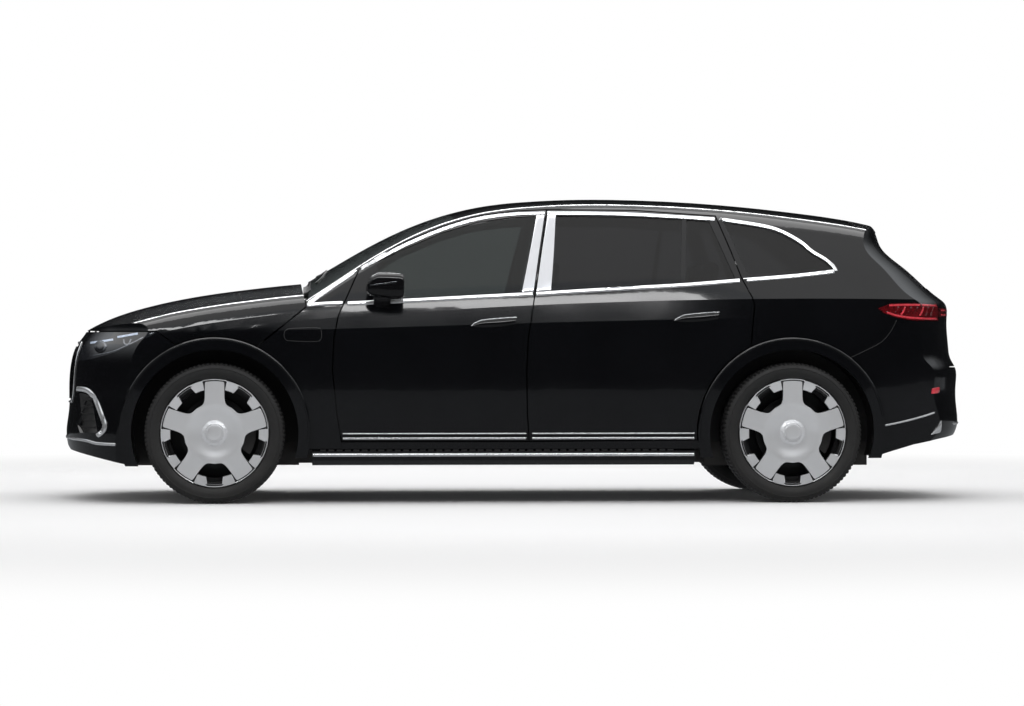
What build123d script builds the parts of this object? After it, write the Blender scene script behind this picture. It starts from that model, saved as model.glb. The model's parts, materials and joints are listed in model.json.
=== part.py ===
"""Electric luxury sport utility vehicle: body panels, glass, doors, wheels and running gear.

Millimetres. +X points to the rear, +Y to the vehicle's right, +Z up. The origin is on the ground,
midway along the length and on the centre plane. The body is two lofted volumes that share one
formula for their sides: the front volume carries the bonnet, the cabin volume carries the roof.
Panels are cut from those volumes along the shut lines.
"""

import os
from bisect import bisect
from math import asin, atan2, cos, degrees, exp, log1p, pi, radians, sin

from build123d import *

# Overall size
LENGTH = 5125.0
WIDTH = 1959.0
HEIGHT = 1718.0
WHEELBASE = 3210.0
FRONT_OVERHANG = 865.0
FRONT_TRACK = 1666.0
REAR_TRACK = 1680.0
GROUND_CLEARANCE = 205.0

# Wheels and tyres
TYRE_RADIUS = 390.0
TYRE_WIDTH = 275.0
RIM_RADIUS = 297.0
RIM_WIDTH = 246.0
HUB_RADIUS = 78.0
SPOKE_COUNT = 5
SPOKE_WIDTH = 117.0
DISH_RADIUS = 163.0
DISC_RADIUS = 195.0
DISC_THICKNESS = 34.0
DISC_OFFSET = -22.0
STUB_RADIUS = 35.0
STUB_LENGTH = 40.0
RUNNING_CLEARANCE = 0.05
BEAD_GAP = 0.3
KINGPIN_OFFSET = 40.0
KINGPIN_RADIUS = 12.0

# Arches
ARCH_RADIUS = 462.0
ARCH_TRIM_WIDTH = 66.0
ARCH_FLARE = 22.0
ARCH_GAP = 0.95
TRIM_DEPTH = 26.0
LINER_THICKNESS = 8.0
LINER_GAP = 6.0

# Panels
SHUT_GAP = 7.0
FIXED_GAP = 0.8
FIT_GAP = 0.3
BUFFER_RADIUS = 6.0
HINGE_GAP = 14.0
DOOR_THICKNESS = 100.0
FRAME_THICKNESS = 58.0
DOOR_TO_FRAME = 16.0
PILLAR_DEPTH = 56.0
ROOF_THICKNESS = 42.0
PANEL_THICKNESS = 26.0
GLASS_THICKNESS = 6.0
GLASS_INSET = 5.0
DOOR_SLANT = 0.36
SKIN_MARGIN = 40.0
APERTURE_INSET = 58.0
SILL_HEIGHT = 345.0

# Interior
FLOOR_HEIGHT = 345.0
FLOOR_THICKNESS = 14.0
BATTERY_HEIGHT = 118.0
COLUMN_RADIUS = 22.0

FRONT_X = -LENGTH / 2 + FRONT_OVERHANG
REAR_X = FRONT_X + WHEELBASE
NOSE_X = -LENGTH / 2
TAIL_X = LENGTH / 2
HALF_WIDTH = WIDTH / 2 - ARCH_FLARE
TRIM_RADIUS = ARCH_RADIUS + ARCH_TRIM_WIDTH
COWL_X = FRONT_X + 480.0


# Smooth curves


def soft(value, softness):
    """A ramp that starts softly: about zero below zero, and value above."""
    ratio = value / softness
    return value if ratio > 30 else softness * log1p(exp(ratio))


def ease(share):
    """Smooth step from 0 to 1."""
    share = min(1.0, max(0.0, share))
    return share * share * (3 - 2 * share)


def curve(*points):
    """A smooth line through the points, as a function of the first coordinate."""
    xs = [p[0] for p in points]
    ys = [p[1] for p in points]
    steps = [(b - a) / (d - c) for a, b, c, d in zip(ys, ys[1:], xs, xs[1:])]
    slopes = [steps[0], *[(a + b) / 2 for a, b in zip(steps, steps[1:])], steps[-1]]

    def height(x):
        i = min(max(bisect(xs, x) - 1, 0), len(xs) - 2)
        span = xs[i + 1] - xs[i]
        t = (x - xs[i]) / span
        if t < 0 or t > 1:
            end = 0 if t < 0 else -1
            return ys[end] + slopes[end] * (x - xs[end])
        return (
            (2 * t**3 - 3 * t**2 + 1) * ys[i]
            + (t**3 - 2 * t**2 + t) * span * slopes[i]
            + (3 * t**2 - 2 * t**3) * ys[i + 1]
            + (t**3 - t**2) * span * slopes[i + 1]
        )

    return height


# Character lines, as heights along the length
shoulder_line = curve(
    (FRONT_X - 800, 905), (FRONT_X - 200, 945), (FRONT_X + 640, 966),
    (FRONT_X + 2130, 1010), (REAR_X + 300, 1035), (REAR_X + 1100, 1035),
)
haunch_line = curve(
    (FRONT_X + 400, 1010), (FRONT_X + 1500, 1085), (REAR_X - 800, 1122),
    (REAR_X, 1136), (REAR_X + 1100, 1130),
)
belt_line = curve(
    (FRONT_X + 300, 1080), (FRONT_X + 502, 1092), (FRONT_X + 1025, 1123),
    (FRONT_X + 1760, 1161), (REAR_X - 587, 1211), (REAR_X + 27, 1262),
    (REAR_X + 210, 1284), (REAR_X + 900, 1330),
)
roof_line = curve(
    (FRONT_X + 400, HEIGHT - 545), (FRONT_X + 505, HEIGHT - 486), (FRONT_X + 714, HEIGHT - 363),
    (FRONT_X + 992, HEIGHT - 212), (FRONT_X + 1271, HEIGHT - 101), (FRONT_X + 1549, HEIGHT - 37),
    (FRONT_X + 1897, HEIGHT - 6), (FRONT_X + 2250, HEIGHT), (REAR_X - 479, HEIGHT - 18),
    (REAR_X - 61, HEIGHT - 54), (REAR_X + 356, HEIGHT - 107), (REAR_X + 490, HEIGHT - 132),
    (REAR_X + 800, HEIGHT - 215), (REAR_X + 1150, HEIGHT - 320),
)
bonnet_line = curve(
    (FRONT_X - 900, 862), (FRONT_X - 747, 952), (FRONT_X - 608, 1022), (FRONT_X - 399, 1090),
    (FRONT_X - 121, 1150), (FRONT_X + 227, 1198), (FRONT_X + 505, 1226), (FRONT_X + 900, 1250),
)
nose_line = curve(
    (150, NOSE_X + 40), (330, NOSE_X + 6), (364, NOSE_X), (498, NOSE_X + 14), (720, NOSE_X + 22),
    (800, NOSE_X + 34), (866, NOSE_X + 56), (910, NOSE_X + 84), (960, NOSE_X + 118), (1100, NOSE_X + 220),
)
tail_line = curve(
    (150, TAIL_X - 90), (346, TAIL_X - 34), (377, TAIL_X - 6), (486, TAIL_X), (593, TAIL_X - 8),
    (744, TAIL_X - 8), (808, TAIL_X - 40), (917, TAIL_X - 52), (1025, TAIL_X - 58), (1110, TAIL_X - 66),
    (1168, TAIL_X - 134), (1291, TAIL_X - 274), (1490, TAIL_X - 482), (HEIGHT - 132, TAIL_X - 560),
    (HEIGHT + 60, TAIL_X - 690),
)


# Body sections


def plan_half_width(x):
    """Half-width at the waist along the length, drawn in towards nose and tail."""
    front = max(0.0, (FRONT_X + 150 - x) / 1000)
    rear = max(0.0, (x - (REAR_X - 100)) / 1000)
    front_corner = max(0.0, (FRONT_X - 380 - x) / 450)
    rear_corner = max(0.0, (x - (REAR_X + 450)) / 550)
    return HALF_WIDTH - 95 * front**2.2 - 110 * rear**2.2 - 160 * front_corner**2 - 150 * rear_corner**2


def side_half_width(x, z):
    """Half-width of the body side at any place: barrel below, shoulder, haunch and leaning glass."""
    haunch = ease((x - (REAR_X - 750)) / 700)
    belt = belt_line(x)
    y = plan_half_width(x)
    y -= 50 * (max(0.0, 720 - z) / 520) ** 2
    y -= 0.00010 * max(0.0, z - 720) ** 2
    y -= (0.24 * (1 - haunch) + 0.05 * haunch) * max(0.0, z - shoulder_line(x))
    y -= 0.36 * haunch * max(0.0, z - haunch_line(x))
    y -= (0.12 * (1 - haunch) + 0.03 * haunch) * soft(z - belt, 25)
    return y - 0.0002 * max(0.0, z - belt) ** 2


def canopy_height(x, y):
    """Height of windscreen, roof and tailgate, crowned across the width."""
    return roof_line(x) - 62 * (y / 640) ** 2


def bonnet_height(x, y):
    """Height of the bonnet, crowned across the width, with a raised dome each side."""
    dome = 10 * exp(-(((abs(y) - 430) / 150) ** 2))
    return bonnet_line(x) - 66 * (abs(y) / 800) ** 2.4 + dome


def wall_inset(x, z, depth, upper_depth):
    """Inset of an inner layer: depth in the lower body, upper_depth beside the glass."""
    return depth + (upper_depth - depth) * ease((z - belt_line(x) + 60) / 200)


class Layer:
    """One skin of the body: the outer surface moved in by depth at the sides and top_depth above."""

    def __init__(self, top, radius, depth=0.0, upper_depth=None, top_depth=0.0):
        self.top = top
        self.radius = radius
        self.depth = depth
        self.upper_depth = depth if upper_depth is None else upper_depth
        self.top_depth = top_depth

    def side(self, x, z):
        """Half-width at a height."""
        return side_half_width(x, z) - wall_inset(x, z, self.depth, self.upper_depth)

    def height(self, x, y):
        """Height of the top surface."""
        return self.top(x, y) - self.top_depth

    def corner(self, x):
        """Where the side would meet the top without its rounding."""
        y = 700.0
        for _ in range(30):
            z = self.height(x, y)
            y = self.side(x, z)
        return y, z

    def section(self, x, bottom):
        """Closed section at x: up one side, over the top, down the other and back along the bottom."""
        corner_y, corner_z = self.corner(x)
        low = corner_z - self.radius
        inner = corner_y - self.radius
        rise = (self.side(x, low) - self.side(x, low - 1), 1)
        fall = (-1, self.height(x, inner - 1) - self.height(x, inner))
        breaks = [bottom, min(shoulder_line(x), low - 90), min(haunch_line(x), low - 45), low]

        def flank(hand):
            edges = []
            for a, b, count in zip(breaks, breaks[1:], (4, 2, 4)):
                levels = [a + (b - a) * i / count for i in range(count + 1)]
                edges.append(Spline(*[(x, hand * self.side(x, z), z) for z in levels]))
            ends = [(x, hand * self.side(x, low), low), (x, hand * inner, self.height(x, inner))]
            directions = [(0, hand * rise[0], rise[1]), (0, hand * fall[0], fall[1])]
            return [*edges, Spline(*ends, tangents=directions)]

        across = [inner * k / 4 for k in (4, 3, 2, 1, 0, -1, -2, -3, -4)]
        crown = Spline(*[(x, y, self.height(x, y)) for y in across])
        foot = self.side(x, bottom)
        base = Line((x, -foot, bottom), (x, foot, bottom))
        return Wire([*flank(1), crown, *reversed(flank(-1)), base])

    def volume(self, stations, bottom):
        """Solid inside the skin, down to bottom."""
        return Solid.make_loft([self.section(x, bottom) for x in stations])


# Simple shapes


def side_prism(points, near, far):
    """Outline in X and Z, from y near to y far."""
    wire = Wire.make_polygon([Vector(x, near, z) for x, z in points])
    return Solid.extrude(Face(wire), Vector(0, far - near, 0))


def front_prism(points, near, far):
    """Outline in Y and Z, from x near to x far."""
    wire = Wire.make_polygon([Vector(near, y, z) for y, z in points])
    return Solid.extrude(Face(wire), Vector(far - near, 0, 0))


def plan_prism(points, low, high):
    """Outline in X and Y, from z low to z high."""
    wire = Wire.make_polygon([Vector(x, y, low) for x, y in points])
    return Solid.extrude(Face(wire), Vector(0, 0, high - low))


def block(x, y, z):
    """Box from three spans."""
    return side_prism([(x[0], z[0]), (x[1], z[0]), (x[1], z[1]), (x[0], z[1])], y[0], y[1])


def rod(start, end, radius):
    """Round bar between two points."""
    axis = Vector(*end) - Vector(*start)
    return Solid.make_cylinder(radius, axis.length, Plane(origin=start, z_dir=axis))


def joined(*shapes):
    """Several solids as one node."""
    found = [solid for shape in shapes for solid in shape.solids()]
    return found[0] if len(found) == 1 else Compound(found)


def largest(shape):
    """The largest solid of a cut."""
    return max(shape.solids(), key=lambda solid: solid.volume)


def cut(shape, *tools):
    """Shape without the tools."""
    for tool in tools:
        shape = joined(shape - tool)
    return shape


def common(shape, *tools):
    """What shape has in common with every tool."""
    for tool in tools:
        shape = joined(shape & tool)
    return shape


def other_side(shape):
    """The same shape on the other side of the centre plane."""
    return joined(mirror(shape, about=Plane.XZ))


def both(shape):
    """A shape and its mirror image."""
    return joined(shape, other_side(shape))


def grown(points, amount):
    """Polygon moved outwards by amount along its edges' normals."""
    count = len(points)
    area = sum(a[0] * b[1] - b[0] * a[1] for a, b in zip(points, points[1:] + points[:1]))
    turn = 1 if area > 0 else -1
    moved = []
    for i in range(count):
        before, here, after = points[i - 1], points[i], points[(i + 1) % count]
        first = atan2(here[1] - before[1], here[0] - before[0]) - turn * pi / 2
        second = atan2(after[1] - here[1], after[0] - here[0]) - turn * pi / 2
        half = ((second - first + pi) % (2 * pi) - pi) / 2
        reach = amount / max(0.3, cos(half))
        middle = first + half
        moved.append((here[0] + reach * cos(middle), here[1] + reach * sin(middle)))
    return moved


def arc_points(centre, radius, start, end, count):
    """Points along an arc, angles in degrees from the first axis."""
    angles = [radians(start + (end - start) * i / count) for i in range(count + 1)]
    return [(centre[0] + radius * cos(a), centre[1] + radius * sin(a)) for a in angles]


# Body volumes
CABIN_END = REAR_X + 1130
FRONT_START = NOSE_X - 60
FRONT_END = FRONT_X + 830
CABIN_STATIONS = [COWL_X + (CABIN_END - COWL_X) * i / 17 for i in range(18)]
FRONT_STATIONS = [FRONT_START + (FRONT_END - FRONT_START) * i / 13 for i in range(14)]
WIDE_STEPS = [-1100, -900, -700, -450, -200, 0, 200, 450, 700, 900, 1100]


def end_face(line, bow, heights):
    """Nose or tail surface: the centre profile, swept back towards the sides by bow."""
    wires = []
    for z in heights:
        points = [(line(z) + bow * (abs(y) / 500) ** 3, y, z) for y in WIDE_STEPS]
        wires.append(Wire([Spline(*points)]))
    return Shell.make_loft(wires).faces()[0]


NOSE_FACE = end_face(nose_line, 60, [150, 260, 340, 400, 500, 650, 760, 830, 890, 960, 1100, 1300])
TAIL_FACE = end_face(
    tail_line,
    -55,
    [150, 300, 360, 430, 520, 650, 744, 800, 870, 1025, 1110, 1150, 1220, 1320, 1450, 1586, 1760],
)


def behind_nose(setback):
    """Everything behind the nose surface moved back by setback."""
    return Solid.extrude(NOSE_FACE.moved(Location((setback, 0, 0))), Vector(2600, 0, 0))


def ahead_of_tail(setback):
    """Everything ahead of the tail surface moved forward by setback."""
    return Solid.extrude(TAIL_FACE.moved(Location((-setback, 0, 0))), Vector(-5200, 0, 0))


FRAME_START = DOOR_THICKNESS + DOOR_TO_FRAME
FRAME_START_UPPER = FRAME_THICKNESS + DOOR_TO_FRAME
CABIN = Layer(canopy_height, 60)
DOOR_LINING = Layer(canopy_height, 52, DOOR_THICKNESS, FRAME_THICKNESS, 50)
FRAME_FACE = Layer(canopy_height, 48, FRAME_START, FRAME_START_UPPER, 58)
FRAME_LINING = Layer(
    canopy_height, 44, FRAME_START + PILLAR_DEPTH, FRAME_START_UPPER + PILLAR_DEPTH * 0.7, 74
)
FRONT = Layer(bonnet_height, 78)
FRONT_LINING = Layer(bonnet_height, 60, PANEL_THICKNESS, PANEL_THICKNESS, PANEL_THICKNESS)
LEFT = block((-4000, 4000), (-1500, 0), (-10, 3000))

cabin_volume = common(CABIN.volume(CABIN_STATIONS, GROUND_CLEARANCE), ahead_of_tail(0))
lining_volume = common(DOOR_LINING.volume(CABIN_STATIONS, GROUND_CLEARANCE), ahead_of_tail(60))
frame_face_volume = FRAME_FACE.volume(CABIN_STATIONS, GROUND_CLEARANCE)
frame_volume = common(FRAME_LINING.volume(CABIN_STATIONS, GROUND_CLEARANCE), ahead_of_tail(70))
cabin_shell = cut(cabin_volume, lining_volume)
left_door_wall = common(cabin_shell, LEFT)
left_frame_wall = common(cut(cabin_volume, frame_volume), LEFT)
front_volume = common(FRONT.volume(FRONT_STATIONS, GROUND_CLEARANCE), behind_nose(0))
front_lining = FRONT_LINING.volume(FRONT_STATIONS, GROUND_CLEARANCE + 20)
front_lining = common(front_lining, behind_nose(PANEL_THICKNESS))
front_shell = cut(front_volume, front_lining)


# Shut lines in side view
DOOR_SPLIT = [
    (FRONT_X + 1858, 1637), (FRONT_X + 1815, 1400), (FRONT_X + 1773, 1164), (FRONT_X + 1732, 917),
    (FRONT_X + 1723, 712), (FRONT_X + 1727, 500), (FRONT_X + 1738, SILL_HEIGHT),
]
FRONT_DOOR = [
    (FRONT_X + 703, SILL_HEIGHT), (FRONT_X + 677, 506), (FRONT_X + 653, 740), (FRONT_X + 662, 917),
    (FRONT_X + 686, 1040), (FRONT_X + 725, 1123), (FRONT_X + 802, 1296), (FRONT_X + 1033, 1440),
    (FRONT_X + 1263, 1538), (FRONT_X + 1471, 1601), (FRONT_X + 1679, 1629), *DOOR_SPLIT,
]
REAR_DOOR_EDGE = [
    (REAR_X - 862, 1634), (REAR_X - 553, 1612), (REAR_X - 400, 1602), (REAR_X - 330, 1405),
    (REAR_X - 278, 1248), (REAR_X - 226, 1144), (REAR_X - 212, 1095), (REAR_X - 222, 1021),
]
REAR_ARCH_EDGE = arc_points((REAR_X, TYRE_RADIUS), TRIM_RADIUS + SHUT_GAP, 116, 184, 8)
REAR_DOOR = [
    *[(x + SHUT_GAP, z) for x, z in reversed(DOOR_SPLIT)], *REAR_DOOR_EDGE, *REAR_ARCH_EDGE,
]
FRONT_WINDOW = [
    (FRONT_X + 890, 1136), (FRONT_X + 905, 1345), (FRONT_X + 1040, 1412), (FRONT_X + 1263, 1508),
    (FRONT_X + 1471, 1571), (FRONT_X + 1660, 1597), (FRONT_X + 1795, 1604), (FRONT_X + 1745, 1380),
    (FRONT_X + 1697, 1172), (FRONT_X + 1300, 1150),
]
REAR_WINDOW_FRONT = [
    (FRONT_X + 1872, 1182), (FRONT_X + 1915, 1604), (FRONT_X + 2348, 1599), (REAR_X - 590, 1584),
    (REAR_X - 622, 1222), (FRONT_X + 2250, 1199),
]
REAR_WINDOW_BACK = [
    (REAR_X - 596, 1224), (REAR_X - 564, 1583), (REAR_X - 436, 1573), (REAR_X - 368, 1395),
    (REAR_X - 312, 1250),
]
QUARTER_WINDOW = [
    (REAR_X - 236, 1262), (REAR_X - 290, 1400), (REAR_X - 356, 1572), (REAR_X - 134, 1536),
    (REAR_X - 30, 1502), (REAR_X + 71, 1442), (REAR_X + 128, 1390), (REAR_X + 200, 1345),
    (REAR_X + 246, 1300), (REAR_X + 180, 1290),
]
BONNET_SIDE = [
    (NOSE_X - 60, 957), (FRONT_X - 318, 957),
    *arc_points((FRONT_X, TYRE_RADIUS), TRIM_RADIUS + SHUT_GAP, 113.5, 64.5, 8),
    (FRONT_X + 503, 1092), (FRONT_X + 440, 1400), (NOSE_X - 60, 1400),
]
FENDER_SIDE = [
    (FRONT_X + 200, 303), (FRONT_X + 200, 838), (FRONT_X + 506, 1083), (FRONT_X + 820, 1096),
    (FRONT_X + 820, 345), (FRONT_X + 700, 330), (FRONT_X + 700, 303),
]
HEADLAMP_SIDE = [
    (FRONT_X - 318, 948), (FRONT_X - 402, 905), (FRONT_X - 551, 838), (FRONT_X - 704, 795),
    (FRONT_X - 900, 770), (FRONT_X - 900, 950),
]
BUMPER_SIDE = [
    (NOSE_X - 60, 190), (NOSE_X - 60, 950), (FRONT_X - 318, 950), (FRONT_X - 206, 868), (FRONT_X - 100, 780),
    (FRONT_X - 100, 190),
]
BUMPER_TOP = 1014.0
TAIL_LAMP_SIDE = [
    (REAR_X + 488, 1082), (REAR_X + 520, 1057), (REAR_X + 576, 1036), (REAR_X + 660, 1019),
    (REAR_X + 720, BUMPER_TOP + FIXED_GAP), (TAIL_X + 60, BUMPER_TOP + FIXED_GAP), (TAIL_X + 60, 1110),
    (REAR_X + 790, 1110), (REAR_X + 700, 1113), (REAR_X + 565, 1109),
]
REAR_BUMPER_SIDE = [
    (REAR_X + 200, 700), (REAR_X + 352, 824), (REAR_X + 596, BUMPER_TOP), (TAIL_X + 60, BUMPER_TOP),
    (TAIL_X + 60, 190), (REAR_X + 200, 190),
]
REAR_RAMP = [
    (REAR_X + 360, 100), (REAR_X + 368, 240), (REAR_X + 442, 243), (REAR_X + 566, 281), (REAR_X + 700, 318),
    (TAIL_X - 200, 345), (TAIL_X - 30, 366), (TAIL_X + 80, 370), (TAIL_X + 80, 100),
]
FRONT_RAMP = [
    (NOSE_X - 80, 100), (NOSE_X - 80, 320), (NOSE_X + 8, 318), (NOSE_X + 40, 286), (FRONT_X - 440, 204),
    (FRONT_X - 440, 100),
]
TAILGATE_FOOT = 755.0
TAILGATE_BACK = [(-596, 1720), (-596, 1500), (-640, 1110), (-640, 1000), (-600, TAILGATE_FOOT)]
TAILGATE_BACK = [*TAILGATE_BACK, *[(-y, z) for y, z in reversed(TAILGATE_BACK)]]
BAND_BACK = [(-630, 1034), (630, 1034), (630, 1088), (-630, 1088)]
REAR_GLASS_BACK = [(-500, 1520), (-585, 1200), (585, 1200), (500, 1520)]
ROOF_FRONT = FRONT_X + 1335
ROOF_REAR = REAR_X + 392
RAIL_WIDTH = 64.0


ROOF_STOPS = [COWL_X - 60 + 100 * i for i in range(35)]
RAIL_EDGE = [CABIN.corner(x)[0] - RAIL_WIDTH for x in ROOF_STOPS]


def rail_edge(x):
    """Half-width between the roof rails, straight between the stops so that neighbours share it."""
    i = min(max(bisect(ROOF_STOPS, x) - 1, 0), len(ROOF_STOPS) - 2)
    share = (x - ROOF_STOPS[i]) / (ROOF_STOPS[i + 1] - ROOF_STOPS[i])
    return RAIL_EDGE[i] + share * (RAIL_EDGE[i + 1] - RAIL_EDGE[i])


def roof_opening(start, end, inset):
    """Plan outline between the roof rails from start to end."""
    stops = [start, *[x for x in ROOF_STOPS if start < x < end], end]
    edge = [(x, rail_edge(x) - inset) for x in stops]
    return plan_prism([*edge, *[(x, -y) for x, y in reversed(edge)]], 1060, 1900)


def arch_space(axle_x, radius, inner, outer=1100):
    """Cylinder about an axle on the left side."""
    plane = Plane((axle_x, -inner, TYRE_RADIUS), z_dir=(0, -1, 0))
    return Solid.make_cylinder(radius, outer - inner, plane)


ROOF_ZONE = roof_opening(COWL_X - 40, ROOF_REAR + 80, -32)
FRONT_ARCH = arch_space(FRONT_X, TRIM_RADIUS + ARCH_GAP, 400)
REAR_ARCH = arch_space(REAR_X, TRIM_RADIUS + ARCH_GAP, 400)


# Doors


def edge_relief(line, slant, depth):
    """Wedge behind a door's trailing edge: inner parts stand further forward by slant times depth."""
    wires = []
    for x, z in line:
        y = -side_half_width(x, z)
        outer = (x + slant * SKIN_MARGIN, y - SKIN_MARGIN)
        corners = [outer, (x - slant * depth, y + depth), (x + 300, y + depth), (x + 300, y - SKIN_MARGIN)]
        wires.append(Wire.make_polygon([Vector(a, b, z) for a, b in corners]))
    return Solid.make_loft(wires, ruled=True)


def door(outline, trailing_edge, *windows):
    """Door as thick as its wall, with a relieved trailing edge and its window openings."""
    blank = common(left_door_wall, cut(side_prism(outline, -1100, -380), ROOF_ZONE))
    relief = edge_relief(trailing_edge, DOOR_SLANT, 190)
    return largest(cut(blank, relief, *[side_prism(w, -1100, -380) for w in windows]))


def pane(*windows):
    """Glass just inside the skin, filling the window openings."""
    outer = Layer(canopy_height, 58, GLASS_INSET, GLASS_INSET, GLASS_INSET)
    inner_inset = GLASS_INSET + GLASS_THICKNESS
    inner = Layer(canopy_height, 54, inner_inset, inner_inset, inner_inset)
    sheet = cut(outer.volume(CABIN_STATIONS, 900), inner.volume(CABIN_STATIONS, 890))
    sheet = common(sheet, LEFT)
    return [common(sheet, side_prism(grown(w, -FIT_GAP), -1100, -380)) for w in windows]


front_trailing = [(FRONT_X + 1870, 1700), *DOOR_SPLIT, (FRONT_X + 1745, 300)]
rear_trailing = [(REAR_X - 435, 1700), *REAR_DOOR_EDGE[2:], *REAR_ARCH_EDGE, (REAR_ARCH_EDGE[-1][0], 300)]
door_left_front = door(FRONT_DOOR, front_trailing, FRONT_WINDOW)
door_left_rear = door(REAR_DOOR, rear_trailing, REAR_WINDOW_FRONT, REAR_WINDOW_BACK)
front_pane, rear_pane, rear_small_pane, quarter_pane = pane(
    FRONT_WINDOW, REAR_WINDOW_FRONT, REAR_WINDOW_BACK, QUARTER_WINDOW
)

# Mirrors
mirror_body = fillet(Box(208, 190, 138).edges(), 50).moved(Location((FRONT_X + 940, -984, 1209)))
mirror_stalk = side_prism(
    [(FRONT_X + 832, 1064), (FRONT_X + 912, 1070), (FRONT_X + 960, 1190), (FRONT_X + 880, 1190)], -990, -860
)
door_skin = left_door_wall.moved(Location((0, -2 * FIT_GAP, 0)))
mirror_left = largest(cut(joined(mirror_body + mirror_stalk), door_skin))

# Fixed body side
door_openings = [side_prism(grown(o, SHUT_GAP), -1100, -300) for o in (FRONT_DOOR, REAR_DOOR)]
door_pockets = [cut(opening, frame_face_volume, ROOF_ZONE) for opening in door_openings]
door_apertures = [side_prism(grown(o, -APERTURE_INSET), -1100, -300) for o in (FRONT_DOOR, REAR_DOOR)]
tailgate_space = common(
    front_prism(grown(TAILGATE_BACK, SHUT_GAP), ROOF_REAR - HINGE_GAP, TAIL_X + 60),
    block((ROOF_REAR - HINGE_GAP, 3000), (-1500, 1500), (0, 1900)),
)
body_side_left = cut(
    left_frame_wall,
    roof_opening(COWL_X - 40, ROOF_REAR + 80, 0),
    *door_pockets,
    *door_apertures,
    side_prism(QUARTER_WINDOW, -1100, -380),
    side_prism(grown(FENDER_SIDE, FIXED_GAP), -1100, -840),
    side_prism(grown(BONNET_SIDE, SHUT_GAP), -1200, 10),
    side_prism(grown(REAR_BUMPER_SIDE, FIXED_GAP), -1100, 10),
    side_prism(grown(TAIL_LAMP_SIDE, FIXED_GAP), -1100, 10),
    tailgate_space,
    FRONT_ARCH,
    REAR_ARCH,
    block((-4000, REAR_X), (-1200, 10), (100, 300)),
)
body_side_left = largest(body_side_left)


def sill_buffer(x):
    """Rubber stop on the sill that a shut door rests against."""
    z = SILL_HEIGHT + 30
    lean = BUFFER_RADIUS * (side_half_width(x, z + 1) - side_half_width(x, z))
    skin = side_half_width(x, z)
    seat = skin - FRAME_START - 4
    face = skin - DOOR_THICKNESS - FIT_GAP - lean
    return rod((x, -seat, z), (x, -face, z), BUFFER_RADIUS)


body_side_left = joined(body_side_left.fuse(sill_buffer(FRONT_X + 1640), sill_buffer(REAR_X - 640)))

# Bonnet, fenders, front bumper and lamps
bonnet = largest(common(front_shell, side_prism(BONNET_SIDE, -1200, 1200)))
fender_left = largest(
    cut(
        common(front_shell, side_prism(FENDER_SIDE, -1200, -700)),
        side_prism(grown(FRONT_DOOR, SHUT_GAP), -1200, -600),
        FRONT_ARCH,
    )
)
headlamp_left = largest(common(front_shell, side_prism(grown(HEADLAMP_SIDE, -FIXED_GAP / 2), -1200, -500)))
lamp_space = side_prism(grown(HEADLAMP_SIDE, FIXED_GAP / 2), -1200, -498)
GRILLE_FRONT = [(-400, 560), (400, 560), (452, 690), (430, 880), (-430, 880), (-452, 690)]
BONNET_BUFFER_Y = 330.0
INTAKE_FRONT = [(-800, 395), (-600, 385), (-560, 430), (-640, 560), (-770, 600)]
grille = common(
    Solid.extrude(NOSE_FACE.moved(Location((6, 0, 0))), Vector(18, 0, 0)),
    front_prism(grown(GRILLE_FRONT, -FIT_GAP), NOSE_X - 100, NOSE_X + 400),
)
intake = Solid.extrude(NOSE_FACE.moved(Location((-40, 0, 0))), Vector(40 + 20, 0, 0))
intake = common(intake, front_prism(INTAKE_FRONT, NOSE_X - 100, NOSE_X + 700))
front_bumper = largest(
    cut(
        common(front_shell, side_prism(BUMPER_SIDE, -1200, 1200)),
        lamp_space,
        other_side(lamp_space),
        front_prism(GRILLE_FRONT, NOSE_X - 100, NOSE_X + 400),
        intake,
        other_side(intake),
        side_prism(FRONT_RAMP, -1200, 1200),
        FRONT_ARCH,
        other_side(FRONT_ARCH),
        block((FRONT_X - 350, FRONT_X), (-480, 480), (0, 700)),
    )
)
buffer_x = nose_line(950) + 60 * (BONNET_BUFFER_Y / 500) ** 3 + PANEL_THICKNESS / 2
bonnet_buffers = [
    rod((buffer_x, y, 940), (buffer_x, y, 957 - FIT_GAP), BUFFER_RADIUS)
    for y in (-BONNET_BUFFER_Y, BONNET_BUFFER_Y)
]
front_bumper = joined(front_bumper.fuse(*bonnet_buffers))

# Glass, roof and cowl
windscreen_under = Layer(canopy_height, 60, -40, -40, GLASS_THICKNESS)
roof_under = Layer(canopy_height, 60, -40, -40, ROOF_THICKNESS)
windscreen = largest(
    common(
        cut(cabin_volume, windscreen_under.volume(CABIN_STATIONS, 190)),
        roof_opening(COWL_X + 38, ROOF_FRONT - FIXED_GAP, FIXED_GAP),
    )
)
roof_panel = largest(
    common(
        cut(cabin_volume, roof_under.volume(CABIN_STATIONS, 190)),
        roof_opening(ROOF_FRONT, ROOF_REAR - HINGE_GAP, FIXED_GAP),
    )
)
cowl_panel = side_prism(
    [
        (FRONT_X + 448, 1090), (FRONT_X + 520, 1148), (FRONT_X + 528, 1130), (FRONT_X + 502, 1040),
        (FRONT_X + 484, 1040),
    ],
    -700,
    700,
)

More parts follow.
